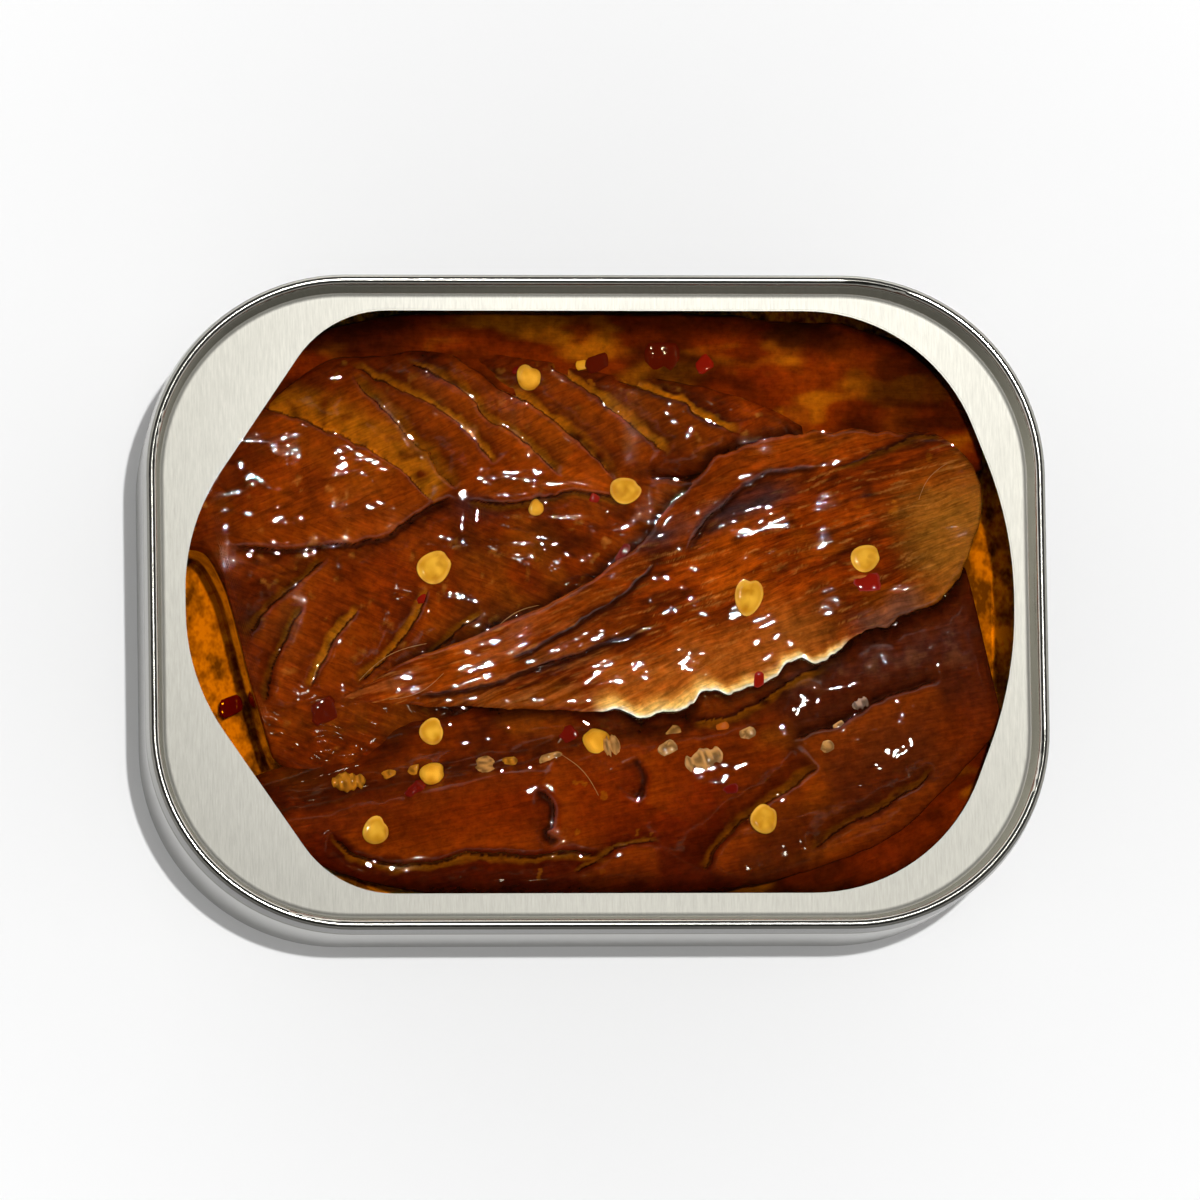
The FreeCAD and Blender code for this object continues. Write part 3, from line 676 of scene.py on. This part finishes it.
lower_front = LowerFillet(
    "lower_front_fillet", (6.0, -36.5), (47.5, -18.5),
    [
        (9.0, 1.5, 0.3, 4.2), (16.0, 5.0, 3.2, 3.2), (32.0, 7.0, 8.0, 2.6), (42.0, 8.0, 6.0, 2.7),
        (47.5, 6.0, 3.5, 3.8),
    ],
    rim=3.0, shoulder=2.2, seed=53,
)
FILLETS = [left, centre, front, lower_back, lower_front]


# ---------------------------------------------------------------- oil

def fish_height(x, y):
    """Height of the highest fish at points in plan."""
    return np.max([f.top_at(x, y) for f in FILLETS], 0)


class OilSurface:
    """The oil's free surface: level in the open, and drawn up where it wets fish."""

    pitch, most_rise, reach, rounds = 0.3, 0.45, 1.7, 160

    def __init__(self):
        self.x0, self.y0 = -53.0, -39.0
        nx, ny = int(106 / self.pitch) + 1, int(78 / self.pitch) + 1
        x = self.x0 + self.pitch * np.arange(nx)[:, None] + np.zeros((1, ny))
        y = self.y0 + self.pitch * np.arange(ny)[None, :] + np.zeros((nx, 1))
        fish = fish_height(x, y)
        dry = fish > OIL_LEVEL + 0.02
        held = np.minimum(fish - OIL_LEVEL, self.most_rise)
        u = np.where(dry, held, 0.0)
        damping = (self.pitch / self.reach) ** 2
        for _ in range(self.rounds):
            mean = (
                np.roll(u, 1, 0) + np.roll(u, -1, 0) + np.roll(u, 1, 1) + np.roll(u, -1, 1)
            ) / (4 + damping)
            u = np.where(dry, held, mean)
        self.z = OIL_LEVEL + np.where(dry, u - 0.25 * smooth(0.0, 0.25, held), u)

    def at(self, x, y):
        """Height of the surface at points in plan."""
        i = np.clip((x - self.x0) / self.pitch, 0, self.z.shape[0] - 1.001)
        j = np.clip((y - self.y0) / self.pitch, 0, self.z.shape[1] - 1.001)
        a, b = np.floor(i).astype(int), np.floor(j).astype(int)
        fi, fj = i - a, j - b
        z = self.z
        return (
            (z[a, b] * (1 - fi) + z[a + 1, b] * fi) * (1 - fj)
            + (z[a, b + 1] * (1 - fi) + z[a + 1, b + 1] * fi) * fj
        )


OIL_INSET = 0.3


def tin_half_width(y, inset):
    """Half the length of the tin's plan at y, drawn in by inset."""
    hx, hy, r = TIN_X / 2 - inset, TIN_Y / 2 - inset, CORNER - inset
    past = np.clip(np.abs(y) - (hy - r), 0, r)
    return hx - r + np.sqrt(np.maximum(r * r - past * past, 0))


def build_oil(surface, material):
    """Closed body of oil, reaching just into the tin's wall and floor."""
    straight = TIN_Y / 2 - CORNER
    turns = np.sin(np.linspace(0, math.pi / 2, int(34 / (STEP * 1.6))))
    flat = np.linspace(-straight, straight, int(2 * straight / (STEP * 1.5)))
    share = np.concatenate([-1 - turns[::-1][:-1], np.linspace(-1, 1, len(flat)), 1 + turns[1:]])
    columns = int(104 / (STEP * 1.5))

    def row_y(inset):
        """The y of every row of points when the plan is drawn in by inset."""
        r = CORNER - inset
        over = np.clip(np.abs(share) - 1, 0, 1)
        return np.sign(share) * (np.minimum(np.abs(share), 1) * straight + over * r * 0.9995)

    u = np.linspace(-1, 1, columns)[None, :]
    y = row_y(OIL_INSET)[:, None]
    x = tin_half_width(y, OIL_INSET) * u
    y = y + 0 * x
    top = np.stack([x, y, surface.at(x, y)], -1)
    sides = {1: [], -1: []}
    for inset, z in ((0.32, 15.8), (0.62, 6.0), (0.75, 2.4), (2.1, 0.76)):
        ly = row_y(inset)
        lx = tin_half_width(ly, inset)
        for way in (1, -1):
            sides[way].append(np.stack([way * lx, ly, np.full_like(ly, z)], -1))
    ring = np.concatenate([top, np.stack(sides[1], 1), np.stack(sides[-1], 1)[:, ::-1]], 1)
    verts, faces = tube_of_rings(ring)
    obj = mesh_object("oil_body", verts, faces)
    obj.data.materials.append(material)
    return obj


# ---------------------------------------------------------------- small pieces on the fish

HIGHEST_BIT, HIGHEST_BONE, LOWEST_BIT = 17.75, 17.7, 3.0


def placed(verts, at, turn, tilt, tilt_way):
    """Vertices turned about Z, tilted, and moved to a place."""
    m = Matrix.Rotation(tilt_way, 3, "Z") @ Matrix.Rotation(tilt, 3, "Y")
    m = m @ Matrix.Rotation(turn - tilt_way, 3, "Z")
    return np.asarray(verts) @ np.array(m).T + np.asarray(at)


def ball(rings=14, around=22):
    """A unit ball as vertices and quads."""
    a = np.linspace(-math.pi / 2, math.pi / 2, rings)[1:-1, None]
    b = np.linspace(0, 2 * math.pi, around, endpoint=False)[None, :]
    x, y, z = np.cos(a) * np.cos(b), np.cos(a) * np.sin(b), np.sin(a) + 0 * b
    return tube_of_rings(np.stack([x, y, z], -1))


class Heap:
    """Several small shapes gathered into one mesh."""

    def __init__(self, name):
        self.name, self.verts, self.faces, self.tints, self.count = name, [], [], [], 0

    def add(self, verts, faces, tint):
        verts = np.asarray(verts)
        self.faces += [tuple(v + self.count for v in f) for f in faces]
        self.verts.append(verts)
        self.tints.append(np.broadcast_to(np.asarray(tint, float), (len(verts), 3)))
        self.count += len(verts)

    def build(self, material):
        verts = np.vstack(self.verts)
        obj = mesh_object(self.name, verts, self.faces, np.vstack(self.tints), verts)
        obj.data.materials.append(material)
        return obj


def seed_shape(width, length, seed):
    """A chilli seed: a flat disc with a raised rim, a notch at one side and a dimple."""
    verts, faces = ball(18, 30)
    v = verts.copy()
    angle = np.arctan2(v[:, 1], v[:, 0])
    radius = np.hypot(v[:, 0], v[:, 1])
    outline = 1 - 0.16 * np.exp(-((angle - 0.3) / 0.35) ** 2) + 0.06 * np.sin(2 * angle + seed)
    outline = outline + 0.05 * np.sin(3 * angle + 2 * seed)
    v[:, 0] *= outline * length / 2
    v[:, 1] *= outline * width / 2
    dome = 0.36 + 0.12 * np.exp(-((radius - 0.8) / 0.16) ** 2)
    dome = dome - 0.10 * np.exp(-(radius / 0.45) ** 2)
    v[:, 2] *= dome * 1.4
    warm = 0.5 + 0.5 * noise(v[:, 0] * 1.3 + seed * 7, v[:, 1] * 1.3, 3)
    tint = blend((0.56, 0.25, 0.010), (0.84, 0.45, 0.040), warm)
    tint = blend(tint, (0.46, 0.175, 0.005), 0.35 * np.exp(-((radius - 0.72) / 0.16) ** 2))
    spots = smooth(0.1, 0.6, fbm(v[:, 0] * 0.8 + seed, v[:, 1] * 0.8, 4, 3))
    tint = blend(tint, (0.40, 0.13, 0.004), 0.55 * spots)
    return v, faces, tint


def chip_shape(size, seed):
    """An irregular flat chip, such as a bit of dried pepper."""
    rng = np.random.default_rng(seed)
    verts, faces = ball(8, 14)
    v = verts.copy()
    angle = np.arctan2(v[:, 1], v[:, 0])
    corners = rng.uniform(0.7, 1.15, 7)
    square = np.maximum(np.abs(np.cos(angle)), np.abs(np.sin(angle))) ** -0.8
    outline = np.interp(angle, np.linspace(-math.pi, math.pi, 7), corners) * square * 0.9
    radius = np.hypot(v[:, 0], v[:, 1])
    v[:, 0] *= outline * size[0] / 2
    v[:, 1] *= outline * size[1] / 2
    v[:, 2] = v[:, 2] * 0.13 + 0.12 * np.sin(3 * v[:, 0]) * radius
    return v, faces


def ridged_shape(length, width, seed):
    """A short ridged piece, like a bit of backbone."""
    rng = np.random.default_rng(seed)
    n = 30
    s = np.linspace(-1, 1, n)
    around = 14
    a = np.linspace(0, 2 * math.pi, around, endpoint=False)
    ridges = 1 + 0.10 * np.sin(s * math.pi * length * 1.15 + rng.uniform(0, 6))
    uneven = 1 + 0.32 * np.interp(np.arange(n), np.arange(0, n, 3), rng.uniform(-1, 1, 10))
    body = np.sqrt(np.clip(1 - s ** 4, 0.02, 1)) * ridges * uneven
    x = np.repeat(s[:, None] * length / 2, around, 1)
    y = body[:, None] * np.cos(a)[None] * width / 2
    z = body[:, None] * np.sin(a)[None] * width * 0.20
    verts, faces = tube_of_rings(np.stack([x, y, z], -1))
    return verts, faces


def rest_on(x, y):
    """Height of the fish that carries a small piece at x, y."""
    return float(fish_height(np.array([x]), np.array([y]))[0])


def tube_along(points, radius, around=6):
    """A round fibre through points, thinner towards both ends."""
    points = np.asarray(points, float)
    tangent = np.gradient(points, axis=0)
    tangent /= np.linalg.norm(tangent, axis=1)[:, None]
    side = np.cross(tangent, [0, 0, 1.0])
    side /= np.maximum(np.linalg.norm(side, axis=1), 1e-6)[:, None]
    up = np.cross(side, tangent)
    a = np.linspace(0, 2 * math.pi, around, endpoint=False)
    count = len(points)
    thick = radius * np.sqrt(np.linspace(0.15, 1, count) * np.linspace(1, 0.15, count) * 2)
    ring = (
        points[:, None] + thick[:, None, None]
        * (np.cos(a)[None, :, None] * side[:, None] + np.sin(a)[None, :, None] * up[:, None])
    )
    return tube_of_rings(ring)


def build_seeds():
    """Chilli seeds: x, y, turn, length, width and lift above the fish."""
    heap = Heap("chilli_seeds")
    for x, y, turn, length, width, lift in (
        (-18.6, 4.6, 0.4, 4.3, 3.7, 0.30), (17.9, 1.1, 1.3, 4.6, 3.2, 0.30),
        (31.6, 5.6, 0.1, 3.6, 3.2, 0.30), (3.7, 13.5, 0.2, 3.8, 3.0, 0.25),
        (-6.6, 11.6, 0.8, 2.0, 1.8, 0.10), (-7.2, 26.9, 1.0, 3.0, 3.0, 0.10),
        (-19.2, -14.6, 0.3, 3.0, 3.0, 0.20), (-19.1, -19.4, 0.0, 3.1, 2.6, 0.25),
        (-25.8, -26.1, 0.5, 3.3, 3.1, 0.20), (19.3, -24.8, 0.9, 3.5, 3.3, 0.20),
        (0.1, -15.7, 2.1, 3.5, 3.2, 0.30),
    ):
        verts, faces, tint = seed_shape(width, length, x)
        z = min(rest_on(x, y) + lift, HIGHEST_BIT)
        heap.add(placed(verts, (x, y, z), turn, 0.16, x), faces, tint)
    return heap.build(bit_material("seed", 0.35, 1.0, 0.4))


def build_pepper():
    """Bits of dried pepper: x, y, turn, length, width and colour."""
    heap = Heap("pepper_bits")
    red, deep_red, dark_red = (0.23, 0.008, 0.003), (0.13, 0.005, 0.002), (0.085, 0.006, 0.001)
    orange, yellow = (0.42, 0.09, 0.006), (0.75, 0.36, 0.02)
    for k, (x, y, turn, length, width, tint) in enumerate((
        (0.2, 12.6, 1.1, 1.7, 1.3, red), (-20.1, 1.0, 0.2, 1.7, 1.4, red),
        (31.9, 2.8, 0.1, 3.6, 2.4, red), (3.3, 6.1, 0.9, 3.0, 1.3, deep_red),
        (8.8, 29.4, 0.1, 5.2, 4.2, dark_red), (1.0, 28.8, 0.3, 3.6, 2.4, dark_red),
        (13.4, 28.5, 0.6, 2.8, 2.4, red), (-8.5, 27.8, 0.0, 1.6, 1.2, deep_red),
        (-41.5, -10.2, 0.3, 3.6, 3.0, deep_red), (-31.6, -12.0, 0.4, 4.2, 3.2, dark_red),
        (-21.1, -21.3, 0.9, 3.4, 1.8, deep_red), (15.5, -21.3, 0.1, 2.0, 1.4, deep_red),
        (-3.2, -14.6, 0.5, 2.6, 2.2, deep_red), (19.0, -8.6, 1.6, 2.2, 1.5, red),
        (14.7, -14.0, 0.4, 1.8, 1.2, orange), (-1.0, 28.5, 0.2, 1.6, 1.5, yellow),
    )):
        verts, faces = chip_shape((length, width), 100 + k)
        z = max(rest_on(x, y) + 0.14, LOWEST_BIT)
        heap.add(placed(verts, (x, y, z), turn, 0.12, 1.3 * k), faces, tint)
    return heap.build(bit_material("pepper", 0.3, 1.0, 0.2))


def build_backbone():
    """Bits of backbone in the front fillet's groove: x, y, turn, length, width and colour."""
    heap = Heap("backbone_bits")
    tan, ochre, grey = (0.52, 0.25, 0.07), (0.50, 0.19, 0.012), (0.40, 0.25, 0.18)
    for k, (x, y, turn, length, width, colour) in enumerate((
        (-28.8, -20.2, 0.1, 4.0, 2.4, ochre), (-24.2, -19.3, 0.5, 2.0, 1.6, ochre),
        (-21.4, -18.8, 1.4, 1.6, 1.4, ochre), (-13.0, -18.5, 1.5, 2.6, 1.9, tan),
        (-10.2, -18.0, 0.2, 2.4, 1.3, ochre), (-5.2, -17.6, 0.35, 3.2, 1.6, tan),
        (1.8, -16.3, 0.2, 2.0, 2.2, tan), (8.9, -14.6, 0.8, 2.2, 1.6, tan),
        (8.2, -16.4, 0.5, 2.6, 1.9, tan), (12.4, -17.8, 0.3, 4.6, 2.2, tan),
        (17.4, -14.8, 0.4, 2.6, 1.6, tan), (26.6, -16.4, 0.5, 2.2, 1.7, tan),
        (30.8, -11.3, 0.4, 2.0, 1.2, grey), (28.2, -14.0, 0.5, 1.8, 1.2, tan),
    )):
        if k % 3 == 0:
            verts, faces = ridged_shape(length, width, 200 + k)
        else:
            verts, faces = chip_shape((length, width), 300 + k)
        speckle = 0.5 + 0.5 * noise(verts[:, 0] * 3.1 + k, verts[:, 1] * 1.7, 9)
        tint = blend(np.array(colour) * 0.35, colour, smooth(0.2, 0.7, speckle))
        z = min(rest_on(x, y) + 0.02, HIGHEST_BONE)
        heap.add(placed(verts, (x, y, z), turn, 0.1, k), faces, tint)
    return heap.build(bit_material("backbone", 0.45, 1.0, 0.3))


def build_fibres():
    """Loose fibres on the fish: x, y, direction, length and how far they bow."""
    heap = Heap("fibres")
    for x, y, angle, length, bow in (
        (-4.2, -17.2, -0.85, 6.5, 0.6), (-27.5, -8.6, 0.5, 9.0, 0.9),
        (-24.0, -10.8, 0.45, 7.0, -0.8), (38.0, 12.5, 0.9, 5.5, 0.6), (-11.0, -2.0, 0.45, 5.0, 0.4),
    ):
        s = np.linspace(0, 1, 18)
        bend = bow * np.sin(math.pi * s)
        px = x + np.cos(angle) * length * s - np.sin(angle) * bend
        py = y + np.sin(angle) * length * s + np.cos(angle) * bend
        pz = np.maximum(fish_height(px, py), OIL_LEVEL) + 0.06
        pz = np.convolve(np.pad(pz, 2, "edge"), np.ones(5) / 5, "valid")
        verts, faces = tube_along(np.stack([px, py, pz], -1), 0.028)
        heap.add(verts, faces, (0.42, 0.20, 0.07))
    return heap.build(bit_material("fibre", 0.5, 0.0, 0.2))


# ---------------------------------------------------------------- materials

OIL_IOR = 1.47
OIL_TINT = (0.96, 0.76, 0.02, 1.0)
OIL_DENSITY = 238.0
SHADOW_TINT = (0.95, 0.95, 0.95, 1.0)
# brightness of the panel's painted sheen near its brightest point and far from it
PANEL_NEAR, PANEL_FAR = 0.66, 0.345
PANEL_TINT = (1.0, 0.975, 0.87)
PANEL_BRIGHTEST = (15.0 * MM, 40.0 * MM, PANEL_TOP * MM)
# the body's outside: its tint is partly a duller tin and partly painted shade for dark reflections
WALL_TONE_AND_SHADE = (0.22, 0.215, 0.195, 1.0)
LACQUER_TINT = (0.92, 0.98, 0.20, 1.0)


class Look:
    """The nodes of a material or world, with short ways to add to them."""

    def __init__(self, owner):
        owner.use_nodes = True
        self.owner, self.tree = owner, owner.node_tree
        self.shader = self.tree.nodes.get("Principled BSDF")

    def settle(self, node, **values):
        """Gives a node its settings. An input's name has _ for a space, and a socket is linked."""
        for key, value in values.items():
            if key in node.bl_rna.properties:
                setattr(node, key, value)
            elif isinstance(value, bpy.types.NodeSocket):
                self.tree.links.new(value, node.inputs[key.replace("_", " ")])
            else:
                node.inputs[key.replace("_", " ")].default_value = value
        return node

    def add(self, kind, **values):
        return self.settle(self.tree.nodes.new("ShaderNode" + kind), **values)

    def spread(self, source, low, high, start=0.3, end=0.7):
        """A value stretched to a new range."""
        ramp = self.add("MapRange", Value=source, To_Min=low, To_Max=high)
        return self.settle(ramp, From_Min=start, From_Max=end).outputs["Result"]

    def join(self, kind, operation, *sources):
        """A node whose inputs are told apart by their order only."""
        node = self.add(kind, operation=operation)
        for source, socket in zip(sources, node.inputs):
            self.tree.links.new(source, socket)
        return node.outputs

    def product(self, a, b):
        return self.join("Math", "MULTIPLY", a, b)[0]

    def scaled(self, colour, share):
        node = self.add("VectorMath", operation="SCALE", Scale=share)
        self.tree.links.new(colour, node.inputs[0])
        return node.outputs["Vector"]

    def mix(self, kind, share, a, b):
        return self.add("Mix", data_type=kind, Factor=share, A=a, B=b).outputs["Result"]

    def attribute(self, name, output):
        return self.add("Attribute", attribute_name=name).outputs[output]

    def noise(self, where, scale, detail, rough=0.5, distortion=0.0):
        node = self.add("TexNoise", Vector=where, Scale=scale, Detail=detail, Roughness=rough)
        return self.settle(node, Distortion=distortion).outputs["Fac"]

    def stretched(self, where, scale):
        return self.add("Mapping", Vector=where, Scale=scale).outputs["Vector"]

    def bump(self, height, strength, distance):
        node = self.add("Bump", Height=height, Strength=strength, Distance=distance)
        return node.outputs["Normal"]

    def axis(self, vector, name):
        return self.add("SeparateXYZ", Vector=vector).outputs[name]

    def above(self, place, low, high):
        """0 below a height and 1 above it."""
        return self.spread(self.axis(place, "Z"), 0.0, 1.0, low * MM, high * MM)

    def outward_shade(self, place, normal, dark):
        """1 on faces that look inwards or up, and darker on those that look out: painted shade."""
        node = self.add("VectorMath", operation="MULTIPLY")
        self.tree.links.new(place, node.inputs[0])
        node.inputs[1].default_value = (1.0, 1.0, 0.0)
        unit = self.join("VectorMath", "NORMALIZE", node.outputs["Vector"])["Vector"]
        facing = self.join("VectorMath", "DOT_PRODUCT", unit, normal)["Value"]
        return self.spread(facing, 1.0, dark, 0.35, 0.75)


def flesh_material(name, contrast, coat_rough, wet_bump, coat=1.0):
    """Oily smoked fish: the mesh carries the large colour, noise adds fine fibres and mottling
    under a smooth coat of oil."""
    look = Look(bpy.data.materials.new(name))
    flow = look.attribute("flow", "Vector")
    fibre = look.noise(look.stretched(flow, (0.30, 2.2, 1.0)), 1.0, 4.0, 0.6, 0.8)
    mottle = look.noise(flow, 0.9, 6.0, 0.68)
    fibre_shade = look.spread(fibre, 1 - contrast, 1 + contrast)
    shade = look.product(fibre_shade, look.spread(mottle, 0.62, 1.38))
    look.settle(
        look.shader, Roughness=0.6, Specular_IOR_Level=0.0,
        Base_Color=look.scaled(look.attribute("tint", "Color"), shade),
        Normal=look.bump(fibre, 0.6, 0.15 * MM),
        Subsurface_Weight=0.3, Subsurface_Radius=(1.0, 0.32, 0.08), Subsurface_Scale=1.0 * MM,
        Coat_Weight=coat, Coat_IOR=OIL_IOR, Coat_Roughness=coat_rough,
        Coat_Normal=look.bump(mottle, wet_bump, 0.15 * MM),
    )
    return look.owner


def bit_material(name, rough, coat, subsurface):
    """Small pieces in their own colours under an uneven film of oil."""
    look = Look(bpy.data.materials.new(name))
    lumps = look.noise(look.attribute("flow", "Vector"), 0.7, 0.5)
    look.settle(
        look.shader, Roughness=rough, Specular_IOR_Level=0.0,
        Base_Color=look.attribute("tint", "Color"),
        Subsurface_Weight=subsurface, Subsurface_Radius=(1.0, 0.6, 0.2),
        Subsurface_Scale=0.6 * MM,
        Coat_Weight=coat, Coat_Roughness=0.04, Coat_Normal=look.bump(lumps, 0.6, 0.3 * MM),
    )
    return look.owner


def oil_material():
    """Clear amber oil. Shadow rays pass, so what lies in it is lit without caustic noise."""
    look = Look(bpy.data.materials.new("oil"))
    look.settle(
        look.shader, Base_Color=(1.0, 1.0, 1.0, 1.0), Roughness=0.0, IOR=OIL_IOR,
        Transmission_Weight=1.0,
    )
    mix = look.add("MixShader", Fac=look.add("LightPath").outputs["Is Shadow Ray"])
    clear = look.add("BsdfTransparent", Color=SHADOW_TINT)
    look.tree.links.new(look.shader.outputs["BSDF"], mix.inputs[1])
    look.tree.links.new(clear.outputs["BSDF"], mix.inputs[2])
    volume = look.add("VolumeAbsorption", Density=OIL_DENSITY, Color=OIL_TINT)
    look.settle(
        look.tree.nodes["Material Output"],
        Surface=mix.outputs["Shader"], Volume=volume.outputs["Volume"],
    )
    return look.owner


def lid_material():
    """The lid: a panel finely brushed along Y, with painted sheen that makes it brightest towards
    the light at the back, and the polished seam round it, with painted shade on walls that face the
    front and on faces that look outwards."""
    look = Look(bpy.data.materials.new("tinplate_lid"))
    coords = look.add("TexCoord").outputs
    place, normal = coords["Object"], coords["Normal"]
    polished = look.above(place, 18.55, 18.9)
    grain = look.noise(look.stretched(place, (5200.0, 420.0, 5200.0)), 1.0, 3.0, 0.7)
    away = look.join("VectorMath", "DISTANCE", place)["Value"]
    away.node.inputs[1].default_value = PANEL_BRIGHTEST
    # painted sheen: the panel's colour is brightest near the light's reflection and dimmer away
    # from it
    sheen = look.spread(away, PANEL_NEAR, PANEL_FAR, 25.0 * MM, 90.0 * MM)
    panel = look.product(sheen, look.spread(grain, 0.88, 1.12, 0.25, 0.75))
    # painted shade: walls that face the front are darker, and faces that look outwards darker still
    wall = look.spread(look.axis(normal, "Y"), 0.23, 1.0, -0.75, 0.3)
    seam = look.product(wall, look.outward_shade(place, normal, 0.30))
    look.settle(
        look.shader, Metallic=1.0, Roughness=look.spread(polished, 0.58, 0.16, 0.0, 1.0),
        Normal=look.bump(grain, 0.3, 0.03 * MM),
    )
    tint = look.add("VectorMath", operation="SCALE", Scale=look.mix("FLOAT", polished, panel, seam))
    tint.inputs[0].default_value = PANEL_TINT
    look.settle(look.shader, Base_Color=tint.outputs["Vector"])
    return look.owner


def body_material():
    """The drawn body: polished outside, in a dark tint that is partly a duller tin and partly
    painted shade, with a dull golden lacquer on the floor inside.
    """
    look = Look(bpy.data.materials.new("tinplate_body"))
    coords = look.add("TexCoord").outputs
    place, normal = coords["Object"], coords["Normal"]
    upward = look.spread(look.axis(normal, "Z"), 0.0, 1.0, 0.45, 0.55)
    low = look.spread(look.above(place, 3.0, 4.0), 1.0, 0.0, 0.0, 1.0)
    lacquer = look.product(upward, low)
    blotch = look.noise(look.stretched(place, (420.0, 300.0, 420.0)), 1.0, 3.0, 0.7)
    cloudy = look.spread(blotch, 0.22, 1.0, 0.38, 0.60)
    tone = look.mix("RGBA", lacquer, WALL_TONE_AND_SHADE, LACQUER_TINT)
    look.settle(
        look.shader,
        Base_Color=look.scaled(tone, look.mix("FLOAT", lacquer, 1.0, cloudy)),
        Roughness=look.spread(lacquer, 0.20, 0.75, 0.0, 1.0),
        Metallic=look.spread(lacquer, 1.0, 0.5, 0.0, 1.0),
    )
    return look.owner


# ---------------------------------------------------------------- the scene

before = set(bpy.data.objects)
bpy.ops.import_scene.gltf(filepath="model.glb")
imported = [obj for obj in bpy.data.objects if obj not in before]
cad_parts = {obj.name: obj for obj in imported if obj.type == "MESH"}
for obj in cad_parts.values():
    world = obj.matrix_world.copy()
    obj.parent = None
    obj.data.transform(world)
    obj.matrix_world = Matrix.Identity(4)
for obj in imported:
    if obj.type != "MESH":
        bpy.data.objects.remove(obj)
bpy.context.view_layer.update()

steel_body = body_material()
steel_lid = lid_material()
for node, look in (("can_body", steel_body), ("lid_ring", steel_lid)):
    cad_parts[node].data.materials.clear()
    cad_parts[node].data.materials.append(look)

flesh = flesh_material("flesh", 0.32, 0.015, 0.04)
flesh_pale = flesh_material("flesh_pale", 0.42, 0.02, 0.07)
flesh_dark = flesh_material("flesh_dark", 0.26, 0.015, 0.04)
flesh_sunk = flesh_material("flesh_sunk", 0.15, 0.02, 0.0, coat=0.0)

for fillet, look, node, slot in (
    (left, flesh, "fillet_left", "flesh"),
    (centre, flesh_pale, "fillet_centre", "flesh_pale"),
    (front, flesh_dark, "fillet_front", "flesh_dark"),
    (lower_back, flesh_sunk, "lower_fillet_back", "flesh"),
    (lower_front, flesh_sunk, "lower_fillet_front", "flesh"),
):
    piece = fillet.build(look)
    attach(piece, "root")
    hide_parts(node)

surface = OilSurface()
oil = build_oil(surface, oil_material())
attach(oil, "root")
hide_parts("oil")

for piece, slot in (
    (build_seeds(), "flesh_pale"), (build_pepper(), "flesh_dark"),
    (build_backbone(), "flesh_pale"), (build_fibres(), "flesh_pale"),
):
    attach(piece, "root")

# ---------------------------------------------------------------- studio

SUN, SIDE_LIGHT, TOP_LIGHT = 2.02, 3.45, 0.02
FLOOR_SIZE = 6.0
CAMERA_DISTANCE, SEEN_WIDTH, SENSOR = 2.0, 0.13855, 36.0

bpy.ops.mesh.primitive_plane_add(size=FLOOR_SIZE, location=(0, 0, 0))
floor = bpy.context.object
floor.name = "floor"
paper = Look(bpy.data.materials.new("floor"))
paper.settle(paper.shader, Base_Color=(0.9, 0.9, 0.9, 1.0), Roughness=0.9, Specular_IOR_Level=0.0)
floor.data.materials.append(paper.owner)

world = bpy.data.worlds.new("studio")
bpy.context.scene.world = world
room = Look(world)
upward = room.axis(room.add("TexCoord").outputs["Generated"], "Z")
# light comes from low round the sides, and shows less in shiny things than it lights matt ones
level = room.spread(upward, SIDE_LIGHT, TOP_LIGHT, 0.25, 0.50)
glossy_share = room.spread(room.add("LightPath").outputs["Is Glossy Ray"], 1.0, 0.26, 0.0, 1.0)
room.settle(
    room.tree.nodes["Background"],
    Color=(1.0, 1.0, 1.0, 1.0), Strength=room.product(level, glossy_share),
)

key_data = bpy.data.lights.new("key", "SUN")
key_data.energy = SUN
key_data.angle = math.radians(1.1)
key = bpy.data.objects.new("key", key_data)
bpy.context.scene.collection.objects.link(key)
toward = Vector((math.tan(math.radians(2.2)), math.tan(math.radians(1.4)), 1)).normalized()
key.rotation_euler = toward.to_track_quat("Z", "Y").to_euler()

camera_data = bpy.data.cameras.new("camera")
camera = bpy.data.objects.new("camera", camera_data)
bpy.context.scene.collection.objects.link(camera)
bpy.context.scene.camera = camera
camera_data.sensor_width = SENSOR
camera_data.lens = SENSOR * CAMERA_DISTANCE / SEEN_WIDTH
camera_data.clip_end = 20.0
target = Vector((0.000085, 0.000087, TIN_Z * MM))
back = Vector((-math.tan(math.radians(6.3)), -math.tan(math.radians(8.0)), 1)).normalized()
right = (Vector((1, 0, 0)) - back * back.x).normalized()
up = back.cross(right)
turn = Matrix((right, up, back)).transposed().to_4x4()
camera.matrix_world = Matrix.Translation(target + back * CAMERA_DISTANCE) @ turn

scene = bpy.context.scene
scene.view_settings.view_transform = "Standard"
